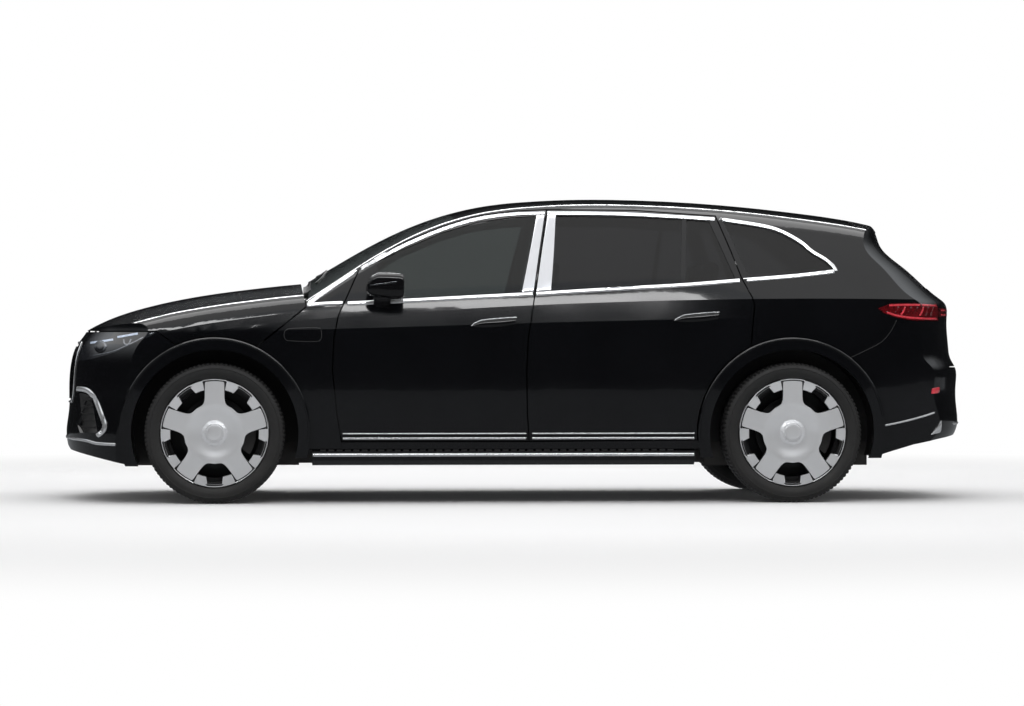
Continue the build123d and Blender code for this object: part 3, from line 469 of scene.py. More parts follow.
def strip(
    name: str, skin: Skin, view: View, points: Sequence[Point], width: float, **shape: float
) -> bpy.types.Object:
    """A strip of even width along a line on the skin.

    Args:
        name: the piece's name.
        skin: what it lies on.
        view: the way its points are looked at.
        points: the line through its middle, in millimetres.
        width: its width.
        **shape: other measures of the Band.

    Returns:
        The new object.
    """
    middle = Rail([(a * MM, b * MM) for a, b in points])
    count = max(8, 3 * len(points))
    shares = [i / count for i in range(count + 1)]
    low = Rail([tuple(middle.at(t) - middle.across(t) * width / 2) for t in shares], fine=4)
    high = Rail([tuple(middle.at(t) + middle.across(t) * width / 2) for t in shares], fine=4)
    return Band(name, skin, view, low, high, **shape).make()


def plate(
    name: str, skin: Skin, view: View, low: Sequence[Point], high: Sequence[Point], **shape: float
) -> bpy.types.Object:
    """A plate between two lines on the skin, given in millimetres."""
    rails = [Rail([(a * MM, b * MM) for a, b in line]) for line in (low, high)]
    return Band(name, skin, view, *rails, **shape).make()


def arc_steps(angle: float, count: int = 16) -> List[float]:
    """Even steps from 0 to an angle."""
    return [angle * i / count for i in range(count + 1)]


def arch_line(axle: float, radius: float, start: int, end: int) -> List[Point]:
    """Points of an arc round an axle.

    Args:
        axle: the axle's place along the vehicle.
        radius: the arc's radius in millimetres.
        start: its first angle from the top, in degrees.
        end: its last angle.

    Returns:
        The points in millimetres, as the left view measures them.
    """
    angles = [math.radians(degrees) for degrees in range(start, end + 1, 4)]
    return [
        (axle / MM + radius * math.sin(angle), AXLE_HEIGHT / MM + radius * math.cos(angle))
        for angle in angles
    ]


# Finishes


class Drafting:
    """Short ways to add and join the nodes of one tree."""

    def __init__(self, tree: bpy.types.NodeTree) -> None:
        """Keeps the tree that the nodes go into."""
        self.tree = tree

    def add(self, kind: str, inputs: Optional[dict] = None, **settings: object) -> bpy.types.Node:
        """Adds a node, sets it up and links its inputs.

        Args:
            kind: the node's type.
            inputs: a value or a socket for each named or numbered input.
            **settings: the node's own settings.

        Returns:
            The new node.
        """
        node = self.tree.nodes.new(kind)
        for key, value in settings.items():
            setattr(node, key, value)
        for key, value in (inputs or {}).items():
            if isinstance(value, bpy.types.NodeSocket):
                self.tree.links.new(value, node.inputs[key])
            else:
                node.inputs[key].default_value = value
        return node


def new_group(
    name: str, inputs: Dict[str, float], outputs: Dict[str, str]
) -> Tuple[Drafting, dict, bpy.types.Node]:
    """Starts a node group.

    Args:
        name: the group's name.
        inputs: its inputs' names and first values; a tuple makes a colour.
        outputs: its outputs' names and socket types.

    Returns:
        The tree's drafting, the input sockets by name, and the output node.
    """
    tree = bpy.data.node_groups.new(name, "ShaderNodeTree")
    for label, value in inputs.items():
        kind = "NodeSocketColor" if isinstance(value, tuple) else "NodeSocketFloat"
        socket = tree.interface.new_socket(name=label, in_out="INPUT", socket_type=kind)
        socket.default_value = value
    for label, kind in outputs.items():
        tree.interface.new_socket(name=label, in_out="OUTPUT", socket_type=kind)
    draft = Drafting(tree)
    start = draft.add("NodeGroupInput")
    return draft, {s.name: s for s in start.outputs}, draft.add("NodeGroupOutput")


def build_mottle() -> bpy.types.NodeTree:
    """A value that drifts over the surface between two limits: handling marks and uneven polish."""
    draft, given, out = new_group(
        "mottle", {"Scale": 4.0, "Low": 0.0, "High": 1.0}, {"Value": "NodeSocketFloat"}
    )
    place = draft.add("ShaderNodeTexCoord")
    noise = draft.add(
        "ShaderNodeTexNoise",
        {"Vector": place.outputs["Object"], "Scale": given["Scale"], "Detail": 5.0, "Roughness": 0.6},
    )
    spread = draft.add(
        "ShaderNodeMapRange",
        {"Value": noise.outputs["Fac"], "From Min": 0.3, "From Max": 0.7, "To Min": given["Low"],
         "To Max": given["High"]},
    )
    draft.tree.links.new(spread.outputs["Result"], out.inputs["Value"])
    return draft.tree


def build_grain() -> bpy.types.NodeTree:
    """The height of a fine grain of cells, as on moulded plastic and leather."""
    draft, given, out = new_group("grain", {"Scale": 600.0, "Crease": 0.5}, {"Height": "NodeSocketFloat"})
    place = draft.add("ShaderNodeTexCoord")
    cells = draft.add(
        "ShaderNodeTexVoronoi", {"Vector": place.outputs["Object"], "Scale": given["Scale"]},
        feature="DISTANCE_TO_EDGE",
    )
    creases = draft.add(
        "ShaderNodeMapRange",
        {"Value": cells.outputs["Distance"], "From Min": 0.0, "From Max": given["Crease"]},
    )
    noise = draft.add(
        "ShaderNodeTexNoise",
        {"Vector": place.outputs["Object"], "Scale": given["Scale"], "Detail": 3.0},
    )
    both = draft.add(
        "ShaderNodeMath", {0: creases.outputs["Result"], 1: noise.outputs["Fac"]}, operation="ADD"
    )
    draft.tree.links.new(both.outputs["Value"], out.inputs["Height"])
    return draft.tree


def build_road_film() -> bpy.types.NodeTree:
    """A thin film of road dust that thickens towards the ground."""
    draft, given, out = new_group(
        "road_film",
        {"Color": (0.0, 0.0, 0.0, 1.0), "Dust": (0.2, 0.18, 0.16, 1.0), "Top": 0.5, "Amount": 0.2},
        {"Color": "NodeSocketColor", "Mask": "NodeSocketFloat"},
    )
    place = draft.add("ShaderNodeTexCoord")
    split = draft.add("ShaderNodeSeparateXYZ", {"Vector": place.outputs["Object"]})
    low = draft.add(
        "ShaderNodeMapRange",
        {"Value": split.outputs["Z"], "From Min": given["Top"], "From Max": 0.0, "To Min": 0.0,
         "To Max": given["Amount"]},
    )
    noise = draft.add(
        "ShaderNodeTexNoise", {"Vector": place.outputs["Object"], "Scale": 9.0, "Detail": 6.0}
    )
    mask = draft.add(
        "ShaderNodeMath", {0: low.outputs["Result"], 1: noise.outputs["Fac"]}, operation="MULTIPLY"
    )
    mix = draft.add(
        "ShaderNodeMix",
        {"Factor": mask.outputs["Value"], "A": given["Color"], "B": given["Dust"]}, data_type="RGBA",
    )
    for source in mix.outputs:
        if source.type == "RGBA" and source.enabled:
            draft.tree.links.new(source, out.inputs["Color"])
    draft.tree.links.new(mask.outputs["Value"], out.inputs["Mask"])
    return draft.tree


class Effects:
    """The node groups that several finishes share, each built once."""

    def __init__(self) -> None:
        """Builds the groups."""
        self.mottle = build_mottle()
        self.grain = build_grain()
        self.road_film = build_road_film()


@dataclass(frozen=True)
class Finish:
    """A surface finish, with the values that its nodes vary round.

    The roughness drifts between its two limits, a grain above 0 gives the bump, and dust is how much road
    film gathers near the ground.
    """

    name: str
    color: Color
    roughness: Tuple[float, float] = (0.3, 0.4)
    mottle_scale: float = 4.0
    metallic: float = 0.0
    coat: float = 0.0
    coat_roughness: float = 0.03
    grain_scale: float = 0.0
    grain_depth: float = 0.0
    grain_crease: float = 0.4
    dust: float = 0.0
    dust_top: float = 0.9
    transmission: float = 0.0
    ior: float = 1.5
    sheen: float = 0.0
    specular: float = 0.5
    glow: float = 0.0
    drift: float = 0.15
    drift_scale: float = 3.0

    def build(self, effects: Effects) -> bpy.types.Material:
        """Makes the material.

        Args:
            effects: the shared node groups.

        Returns:
            The new material.
        """
        material = bpy.data.materials.new(self.name)
        material.use_nodes = True
        tree = material.node_tree
        tree.nodes.clear()
        draft = Drafting(tree)
        shade = draft.add("ShaderNodeBsdfPrincipled")
        draft.add("ShaderNodeOutputMaterial", {"Surface": shade.outputs["BSDF"]})
        for label, value in {
            "Metallic": self.metallic, "Coat Weight": self.coat, "Coat Roughness": self.coat_roughness,
            "Transmission Weight": self.transmission, "IOR": self.ior, "Sheen Weight": self.sheen,
            "Specular IOR Level": self.specular,
        }.items():
            shade.inputs[label].default_value = value
        rough = draft.add("ShaderNodeGroup", node_tree=effects.mottle)
        rough.inputs["Scale"].default_value = self.mottle_scale
        rough.inputs["Low"].default_value, rough.inputs["High"].default_value = self.roughness
        tree.links.new(rough.outputs["Value"], shade.inputs["Roughness"])
        tree.links.new(self.tint(draft, effects), shade.inputs["Base Color"])
        if self.glow:
            shade.inputs["Emission Color"].default_value = (*self.color, 1.0)
            shade.inputs["Emission Strength"].default_value = self.glow
        if self.grain_depth:
            grain = draft.add("ShaderNodeGroup", node_tree=effects.grain)
            grain.inputs["Scale"].default_value = self.grain_scale
            grain.inputs["Crease"].default_value = self.grain_crease
            bump = draft.add(
                "ShaderNodeBump",
                {"Height": grain.outputs["Height"], "Distance": self.grain_depth, "Strength": 0.6},
            )
            tree.links.new(bump.outputs["Normal"], shade.inputs["Normal"])
        return material

    def tint(self, draft: Drafting, effects: Effects) -> bpy.types.NodeSocket:
        """The colour's nodes: a slow drift in lightness, and road film where there is any.

        Args:
            draft: the material's drafting.
            effects: the shared node groups.

        Returns:
            The socket that gives the colour.
        """
        drift = draft.add("ShaderNodeGroup", node_tree=effects.mottle)
        drift.inputs["Scale"].default_value = self.drift_scale
        drift.inputs["Low"].default_value = 1.0 - self.drift
        drift.inputs["High"].default_value = 1.0 + self.drift
        vary = draft.add(
            "ShaderNodeVectorMath", {0: self.color, "Scale": drift.outputs["Value"]}, operation="SCALE"
        )
        if not self.dust:
            return vary.outputs["Vector"]
        film = draft.add("ShaderNodeGroup", {"Color": vary.outputs["Vector"]}, node_tree=effects.road_film)
        film.inputs["Top"].default_value = self.dust_top
        film.inputs["Amount"].default_value = self.dust
        return film.outputs["Color"]


FINISHES = (
    Finish("paint", (0.0030, 0.0032, 0.0040), (0.10, 0.15), 2.0, coat=0.5, specular=0.30, dust=0.012),
    Finish("gloss_black", (0.004, 0.004, 0.0045), (0.05, 0.10), 5.0),
    Finish("roof_glass", (0.003, 0.0035, 0.004), (0.02, 0.04), 2.0),
    Finish("black_plastic", (0.012, 0.012, 0.0125), (0.42, 0.58), 9.0, grain_scale=700, grain_depth=0.0003,
           dust=0.06),
    Finish("glass", (0.135, 0.155, 0.152), (0.0, 0.01), 3.0, transmission=1.0, ior=1.45, drift=0.03),
    Finish("tinted_glass", (0.075, 0.077, 0.082), (0.0, 0.01), 3.0, transmission=1.0, ior=1.45, drift=0.03),
    Finish("headlamp", (0.012, 0.013, 0.016), (0.02, 0.06), 6.0, coat=1.0),
    Finish("tail_lamp", (0.085, 0.003, 0.005), (0.05, 0.09), 30.0, coat=1.0, drift=0.5, drift_scale=40.0),
    Finish("underbody", (0.014, 0.014, 0.015), (0.55, 0.75), 8.0, grain_scale=240, grain_depth=0.0006,
           dust=0.25),
    Finish("casing", (0.10, 0.102, 0.106), (0.38, 0.55), 6.0, metallic=0.8, grain_scale=320,
           grain_depth=0.0004, dust=0.3),
    Finish("chassis", (0.022, 0.022, 0.024), (0.45, 0.65), 10.0, grain_scale=200, grain_depth=0.0005,
           dust=0.3),
    Finish("interior", (0.018, 0.017, 0.017), (0.45, 0.60), 8.0, grain_scale=500, grain_depth=0.0004),
    Finish("leather", (0.045, 0.034, 0.027), (0.40, 0.55), 12.0, grain_scale=420, grain_depth=0.0006,
           grain_crease=0.25, sheen=0.05),
    Finish("piping", (0.10, 0.075, 0.055), (0.35, 0.5), 30.0, grain_scale=500, grain_depth=0.0003),
    Finish("tyre", (0.009, 0.009, 0.0095), (0.55, 0.72), 14.0, grain_scale=260, grain_depth=0.0005,
           dust=0.10),
    Finish("wheel", (0.012, 0.012, 0.013), (0.30, 0.45), 10.0, metallic=0.3, dust=0.05),
    Finish("satin_silver", (0.78, 0.79, 0.81), (0.22, 0.26), 5.0, metallic=0.5, drift=0.02),
    Finish("chrome", (0.86, 0.87, 0.89), (0.06, 0.10), 12.0, metallic=0.75, drift=0.03),
    Finish("brushed_chrome", (0.70, 0.71, 0.74), (0.16, 0.22), 30.0, metallic=0.7, drift=0.05),
    Finish("mirror_glass", (0.70, 0.72, 0.75), (0.0, 0.02), 5.0, metallic=1.0, drift=0.02),
    Finish("lamp_white", (0.52, 0.60, 0.74), (0.05, 0.10), 20.0, coat=1.0, glow=0.10, drift=0.2,
           drift_scale=30.0),
    Finish("lamp_clear", (0.30, 0.31, 0.33), (0.04, 0.10), 40.0, metallic=1.0, drift=0.4, drift_scale=60.0),
    Finish("lamp_red", (0.50, 0.040, 0.055), (0.06, 0.12), 40.0, coat=1.0, glow=0.16, drift=0.3,
           drift_scale=50.0),
    Finish("screen", (0.005, 0.006, 0.008), (0.03, 0.06), 6.0, coat=0.6),
)


class Palette:
    """All the finishes as materials, by name."""

    def __init__(self) -> None:
        """Builds the shared groups and every material."""
        effects = Effects()
        self.materials = {finish.name: finish.build(effects) for finish in FINISHES}

    def dress(self, obj: bpy.types.Object, finish: str) -> None:
        """Gives a piece or CAD node one finish all over."""
        if not obj.material_slots:
            obj.data.materials.append(None)
        for slot in obj.material_slots:
            slot.link = "OBJECT"
            slot.material = self.materials[finish]


SLOT_FINISH = {
    "paint": "paint", "gloss_black": "gloss_black", "roof_glass": "roof_glass",
    "black_plastic": "black_plastic", "glass": "glass", "tinted_glass": "tinted_glass",
    "headlamp": "headlamp", "tail_lamp": "tail_lamp", "underbody": "underbody", "casing": "casing",
    "chassis": "chassis", "interior": "interior", "leather": "leather", "tyre": "tyre", "wheel": "wheel",
}
NODE_FINISH = {"running_boards": "gloss_black"}


class Workshop:
    """Where finished pieces are dressed and handed to the bodies that carry them."""

    def __init__(self, palette: Palette) -> None:
        """Starts with the finishes and dresses the CAD nodes."""
        self.palette = palette
        self.count = 0
        for name, node in NODES.items():
            slot = node.material_slots[0].material.name.split(".")[0]
            palette.dress(node, NODE_FINISH.get(name, SLOT_FINISH[slot]))

    def mount(
        self, obj: bpy.types.Object, body: str, finish: str, replaces: Sequence[str] = ()
    ) -> bpy.types.Object:
        """Dresses a piece and lets it ride on its body.

        Args:
            obj: the finished mesh.
            body: the CAD body that carries it.
            finish: the finish's name.
            replaces: CAD nodes that it stands for.

        Returns:
            The piece.
        """
        self.palette.dress(obj, finish)
        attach(obj, body)
        if replaces:
            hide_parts(*replaces)
        self.count += 1
        LOG.info("piece %s rides on %s in %s", obj.name, body, finish)
        return obj

    def mount_both(self, obj: bpy.types.Object, body: str, finish: str) -> None:
        """Mounts a left piece, whose name ends in _left, and its mirror image on the right."""
        right = mirrored(obj, obj.name.replace("_left", "_right"))
        self.mount(obj, body, finish)
        self.mount(right, body.replace("_left", "_right"), finish)


# Stage


@dataclass
class Studio:
    """Floor, reflector cards, lights and camera."""

    camera_place: Tuple[float, float, float] = (-1.2266, -21.16, 0.90)
    camera_aim: Tuple[float, float, float] = (-0.053, -0.957, 0.833)
    lens: float = 128.3
    world_light: float = 0.55
    card_dark: float = 3.4
    card_top: float = 11.0

    def build(self) -> None:
        """Builds the whole stage."""
        self.world()
        self.floor()
        self.cards()
        self.lights()
        self.camera()

    def world(self) -> None:
        """A white surround that the camera, metal and glass see, and that lights softly."""
        world = bpy.data.worlds.new("surround")
        bpy.context.scene.world = world
        world.use_nodes = True
        world.node_tree.nodes.clear()
        draft = Drafting(world.node_tree)
        path = draft.add("ShaderNodeLightPath")
        seen = draft.add(
            "ShaderNodeMath",
            {0: path.outputs["Is Camera Ray"], 1: path.outputs["Is Glossy Ray"]}, operation="MAXIMUM",
        )
        seen = draft.add(
            "ShaderNodeMath",
            {0: seen.outputs["Value"], 1: path.outputs["Is Transmission Ray"]}, operation="MAXIMUM",
        )
        strength = draft.add(
            "ShaderNodeMapRange",
            {"Value": seen.outputs["Value"], "To Min": self.world_light, "To Max": 1.0},
        )
        back = draft.add(
            "ShaderNodeBackground",
            {"Color": (1.0, 1.0, 1.0, 1.0), "Strength": strength.outputs["Result"]},
        )
        draft.add("ShaderNodeOutputWorld", {"Surface": back.outputs["Background"]})

    def floor(self) -> None:
        """A pale floor that goes over into the white surround far from the vehicle."""
        clear_selection()
        bpy.ops.mesh.primitive_plane_add(size=400.0, location=(0, 0, -0.0005))
        floor = fresh("floor")
        settle(floor)
        material = bpy.data.materials.new("floor")
        material.use_nodes = True
        material.node_tree.nodes.clear()
        draft = Drafting(material.node_tree)
        place = draft.add("ShaderNodeTexCoord")
        distance = draft.add("ShaderNodeVectorMath", {0: place.outputs["Object"]}, operation="LENGTH")
        far = draft.add(
            "ShaderNodeMapRange", {"Value": distance.outputs["Value"], "From Min": 3.2, "From Max": 9.0},
            interpolation_type="SMOOTHSTEP",
        )
        pale = draft.add("ShaderNodeBsdfDiffuse", {"Color": (0.86, 0.86, 0.865, 1.0)})
        white = draft.add("ShaderNodeEmission", {"Color": (1.0, 1.0, 1.0, 1.0), "Strength": 1.0})
        mix = draft.add(
            "ShaderNodeMixShader",
            {"Fac": far.outputs["Result"], 1: pale.outputs["BSDF"], 2: white.outputs["Emission"]},
        )
        draft.add("ShaderNodeOutputMaterial", {"Surface": mix.outputs["Shader"]})
        floor.data.materials.append(material)

    def cards(self) -> None:
        """Cards round the vehicle, dark below and light above, which only reflections see."""
        upright = self.card_material("card", 0.012)
        ground = self.card_material("card_ground", 0.20)
        far_x, far_y, tall = 20.0, 9.0, self.card_top
        quarter = math.pi / 2
        for name, spot, size, turn, material in (
            ("card_left", (0, -far_y, tall / 2), (2 * far_x, tall), (quarter, 0, 0), upright),
            ("card_right", (0, far_y, tall / 2), (2 * far_x, tall), (quarter, 0, 0), upright),
            ("card_front", (-far_x, 0, tall / 2), (tall, 2 * far_y), (0, quarter, 0), upright),
            ("card_rear", (far_x, 0, tall / 2), (tall, 2 * far_y), (0, quarter, 0), upright),
            ("card_floor", (0, 0, 0.002), (2 * far_x, 2 * far_y), (0, 0, 0), ground),
        ):
            clear_selection()
            bpy.ops.mesh.primitive_plane_add(size=1.0)
            card = fresh(name)
            card.scale = (*size, 1.0)
            card.rotation_euler = turn
            card.location = spot
            settle(card)
            card.data.materials.append(material)
            card.visible_camera = False
            card.visible_diffuse = False
            card.visible_shadow = False
            card.visible_transmission = False

    def card_material(self, name: str, low: float) -> bpy.types.Material:
        """A tone that grows from a low value near the ground to a light one at the cards' top.

        Args:
            name: the material's name.
            low: the tone near the ground.

        Returns:
            The new material.
        """
        material = bpy.data.materials.new(name)
        material.use_nodes = True
        material.node_tree.nodes.clear()
        draft = Drafting(material.node_tree)
        place = draft.add("ShaderNodeTexCoord")
        height = draft.add("ShaderNodeSeparateXYZ", {"Vector": place.outputs["Object"]})
        glow = draft.add(
            "ShaderNodeMapRange",
            {"Value": height.outputs["Z"], "From Min": self.card_dark, "From Max": self.card_top,
             "To Min": low, "To Max": 0.85},
            interpolation_type="SMOOTHSTEP",
        )
        shade = draft.add(
            "ShaderNodeEmission", {"Color": (0.92, 0.96, 1.0, 1.0), "Strength": glow.outputs["Result"]}
        )
        draft.add("ShaderNodeOutputMaterial", {"Surface": shade.outputs["Emission"]})
        return material

    def lights(self) -> None:
        """A broad soft light above and two long soft strips."""
        for name, place, size, power in (
            ("overhead", (0.0, 0.0, 6.0), (8.0, 3.0), 170.0),
            ("strip_left", (0.0, -5.2, 4.6), (9.0, 0.5), 150.0),
            ("strip_right", (0.0, 5.2, 4.6), (9.0, 0.5), 150.0),
        ):
            light = bpy.data.lights.new(name, "AREA")
            light.shape = "RECTANGLE"
            light.size, light.size_y = size
            light.energy = power
            obj = bpy.data.objects.new(name, light)
            obj.location = place
            aim = Vector((0, 0, 0.7)) - Vector(place)
            obj.rotation_euler = aim.to_track_quat("-Z", "Y").to_euler()
            bpy.context.scene.collection.objects.link(obj)

    def camera(self) -> None:
        """The camera at the photograph's place."""
        data = bpy.data.cameras.new("camera")
        data.lens = self.lens
        data.sensor_width = 36.0
        data.clip_end = 500.0
        obj = bpy.data.objects.new("camera", data)
        obj.location = self.camera_place
        aim = Vector(self.camera_aim) - Vector(self.camera_place)
        obj.rotation_euler = aim.to_track_quat("-Z", "Y").to_euler()
        bpy.context.scene.collection.objects.link(obj)
        bpy.context.scene.camera = obj


# Wheels


@dataclass
class RoadWheel:
    """A tyre with its tread, and the silver face on the wheel."""

    corner: str
    side: Side
    tyre_radius: float = 0.390
    tyre_half: float = 0.1375
    bead_radius: float = 0.2985
    spokes: int = 5
    spoke_half: float = 0.0535
    dish_radius: float = 0.160
    fillet: float = 0.070
    face_radius: float = 0.2875
    sipes: int = 96

    @property
    def centre(self) -> Vector:
        """The wheel's middle."""
        return Vector(JOINTS[f"spin_{self.corner}"]["pos_m"])

    @property
    def face_out(self) -> float:
        """How far the CAD wheel's outer face is from its middle plane."""
        low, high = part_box(f"wheel_{self.corner}")
        edge = low.y if self.side is Side.LEFT else high.y
        return abs(edge - self.centre.y)

    def build(self, shop: Workshop) -> None:
        """Builds and mounts the pieces of the wheel."""
        body = f"wheel_{self.corner}"
        shop.mount(self.tyre(), body, "tyre", [f"tyre_{self.corner}"])
        shop.mount(self.face(), body, "satin_silver")
        shop.mount(self.ring(), body, "satin_silver")
        shop.mount(self.cap(), body, "satin_silver")
        shop.mount(self.flange(), body, "wheel")

    def tyre(self) -> bpy.types.Object:
        """The tyre: bead, sidewall with ribs, shoulder, and tread with grooves and sipes."""
        r, h, bead = self.tyre_radius, self.tyre_half, self.bead_radius
        groove = 0.007
        outer = [
            (bead, h - 0.030), (bead + 0.003, h - 0.019), (bead + 0.008, h - 0.012),
            (bead + 0.010, h - 0.0095), (bead + 0.013, h - 0.0085), (bead + 0.022, h - 0.004),
            (bead + 0.034, h - 0.001), (bead + 0.046, h - 0.0002), (bead + 0.056, h - 0.0012),
            (bead + 0.0575, h + 0.0002), (bead + 0.0600, h + 0.0002), (bead + 0.0612, h - 0.0022),
            (r - 0.022, h - 0.007), (r - 0.0150, h - 0.011), (r - 0.0140, h - 0.0095),
            (r - 0.0095, h - 0.013), (r - 0.0060, h - 0.017), (r - 0.0040, h - 0.023),
            (r - 0.0028, h - 0.034),
        ]
        half_tread = list(outer)
        for start, stop in ((0.086, 0.076), (0.036, 0.024)):
            half_tread += [
                (r - 0.0018 + 0.0012 * (0.1 - start) / 0.1, start), (r - groove, start - 0.001),
                (r - groove, stop + 0.001), (r - 0.0006, stop),
            ]
        half_tread.append((r - 0.0002, 0.0))
        inner = [(radius, -out) for radius, out in reversed(half_tread[:-1])]
        profile = half_tread + inner
        steps = self.sipes * 3
        obj = turned(f"tyre_detail_{self.corner}", profile, self.centre, steps, self.side)
        centre = self.centre
        for vertex in obj.data.vertices:
            spot = vertex.co - centre
            radius = math.hypot(spot.x, spot.z)
            step = round(math.atan2(spot.x, spot.z) / (2 * math.pi) * steps)
            if radius > r - 0.0145 and abs(spot.y) > 0.030 and step % 3 == 0:
                drop = (radius - 0.0065) / radius
                vertex.co = centre + Vector((spot.x * drop, spot.y, spot.z * drop))
        smooth(obj, 28)
        return obj

    def face_edge(self, angle: float) -> float:
        """The face's outline radius at an angle from the top."""
        pitch = 2 * math.pi / self.spokes
        off = abs((angle + pitch / 2) % pitch - pitch / 2)
        if off < 1e-6:
            return self.face_radius
        limit = self.spoke_half / math.sin(off)
        inner = self.dish_radius * (1.0 + 0.05 * math.cos(self.spokes * (angle + math.pi)))
        near = max(self.fillet - abs(limit - inner), 0.0)
        return min(self.face_radius, max(inner, limit) + near * near / (4 * self.fillet))

    def face_out_at(self, radius: float) -> float:
        """The height of the dished face at a radius, outwards from the CAD wheel's face."""
        boss, floor_radius, rim = 0.052, 0.070, 0.165
        if radius < boss:
            return 0.004
        if radius < floor_radius:
            share = (radius - boss) / (floor_radius - boss)
            return 0.004 - 0.020 * share * share * (3 - 2 * share)
        if radius < rim:
            share = (radius - floor_radius) / (rim - floor_radius)
            return -0.016 + 0.020 * share * share * (3 - 2 * share)
        return 0.004 - 0.002 * (radius - rim) / (self.face_radius - rim)

    def face(self) -> bpy.types.Object:
        """The dished silver face with five wide spokes."""
        centre, out = self.centre, self.face_out

        def place(u: float, v: float) -> Vector:
            """A point of the face by its shares round and outwards."""
            angle = 2 * math.pi * u
            radius = 0.020 + (self.face_edge(angle) - 0.020) * v
            reach = out + self.face_out_at(radius)
            across, up = radius * math.sin(angle), radius * math.cos(angle)
            return centre + Vector((across, self.side.value * reach, up))

        obj = wrapped_grid(f"wheel_face_{self.corner}", 360, 26, place)
        merge(obj, outward=False)
        facing = sum((p.normal * p.area for p in obj.data.polygons), Vector())
        if facing.y * self.side.value < 0:
            flip(obj)
        thicken(obj, 0.014)
        round_edges(obj, 0.0022, 2, 50)
        smooth(obj, 40)
        return obj

    def ring(self) -> bpy.types.Object:
        """The thin bright rim ring, with the trapezoid pads beside the spokes."""
        centre, out = self.centre, self.face_out
        inner, outer = 0.2815, 0.2965
        pitch = 2 * math.pi / self.spokes
        groove = 0.008

        def edge(angle: float) -> float:
            """The inner radius of ring and pads at an angle."""
            off = abs((angle + pitch / 2) % pitch - pitch / 2)
            start = math.asin((self.spoke_half + groove) / 0.265)
            if off < start:
                return inner + 0.0062
            pad = start + 0.205
            if off < pad:
                return 0.2445
            return 0.2445 + min(1.0, (off - pad) / 0.045) * (inner - 0.2445)

        def place(u: float, v: float) -> Vector:
            """A point of the ring by its shares round and outwards."""
            angle = 2 * math.pi * u
            radius = edge(angle) + (outer - edge(angle)) * v
            reach = out + 0.001 - 0.004 * (1 - v)
            across, up = radius * math.sin(angle), radius * math.cos(angle)
            return centre + Vector((across, self.side.value * reach, up))

        obj = wrapped_grid(f"wheel_ring_{self.corner}", 720, 5, place)
        merge(obj, outward=False)
        facing = sum((p.normal * p.area for p in obj.data.polygons), Vector())
        if facing.y * self.side.value < 0:
            flip(obj)
        thicken(obj, 0.010)
        round_edges(obj, 0.0012, 1, 50)
        smooth(obj, 30)
        return obj

    def cap(self) -> bpy.types.Object:
        """The plain round cap in the middle of the wheel."""
        out = self.face_out
        profile = [
            (0.0, out + 0.0135), (0.020, out + 0.0132), (0.034, out + 0.0122), (0.0395, out + 0.0108),
            (0.0405, out + 0.0090), (0.0412, out + 0.0108), (0.0445, out + 0.0112), (0.0470, out + 0.0095),
            (0.0480, out + 0.0060), (0.0480, out - 0.0040), (0.0, out - 0.0040),
        ]
        obj = turned(f"wheel_cap_{self.corner}", profile, self.centre, 72, self.side)
        smooth(obj, 30)
        return obj

    def flange(self) -> bpy.types.Object:
        """The dark flange round the inside of the rim's barrel."""
        profile = [(0.178, -0.058), (0.2465, -0.056), (0.2465, -0.064), (0.178, -0.064), (0.178, -0.058)]
        obj = turned(f"wheel_flange_{self.corner}", profile, self.centre, 96, self.side)
        smooth(obj, 30)
        return obj


# Side trim


@dataclass
class GlasshouseTrim:
    """Bright surround of the side windows, and the wide plates on the door pillars."""

    width: float = 0.020
    belt_width: float = 0.022

    def build(self, shop: Workshop) -> None:
        """Builds and mounts the trim of both sides."""
        body, front, rear = Skin("body_sides"), Skin("door_left_front"), Skin("door_left_rear")
        for name, skin, carrier, points, width in (
            ("chrome_sail_top_left", body, "body", [(-1180, 1104), (-1042, 1204), (-912, 1292)], self.width),
            ("chrome_sail_belt_left", body, "body", [(-1186, 1098), (-1080, 1106), (-990, 1109)], self.width),
            ("chrome_top_front_left", front, "door_left_front",
             [(-886, 1303), (-657, 1427), (-434, 1523), (-226, 1586), (-28, 1613), (150, 1620)], 0.016),
            ("chrome_belt_front_left", front, "door_left_front",
             [(-962, 1106), (-673, 1120), (-300, 1140), (66, 1159)], self.belt_width),
            ("chrome_top_rear_left", rear, "door_left_rear",
             [(164, 1618), (400, 1618), (622, 1613), (928, 1597), (1108, 1586)], self.width),
            ("chrome_belt_rear_left", rear, "door_left_rear",
             [(86, 1160), (500, 1186), (926, 1211), (1226, 1236)], self.belt_width),
            ("chrome_top_quarter_left", body, "body",
             [(1136, 1586), (1160, 1583), (1380, 1548), (1487, 1514), (1590, 1453), (1648, 1400),
              (1720, 1355), (1768, 1308), (1772, 1292)], self.width),
            ("chrome_belt_quarter_left", body, "body",
             [(1246, 1238), (1400, 1250), (1540, 1262), (1650, 1274), (1762, 1288)], self.belt_width),
        ):
            trim = strip(name, skin, LEFT_VIEW, points, width, crown=0.003)
            shop.mount_both(trim, carrier, "chrome")
        shop.mount_both(
            plate("pillar_plate_front_left", front, LEFT_VIEW, [(6, 1172), (54, 1380), (104, 1607)],
                  [(70, 1172), (106, 1380), (148, 1607)], crown=0.002),
            "door_left_front", "brushed_chrome",
        )
        shop.mount_both(
            plate("pillar_plate_rear_left", rear, LEFT_VIEW, [(87, 1174), (122, 1380), (166, 1607)],
                  [(168, 1180), (190, 1380), (211, 1607)], crown=0.002),
            "door_left_rear", "brushed_chrome",
        )


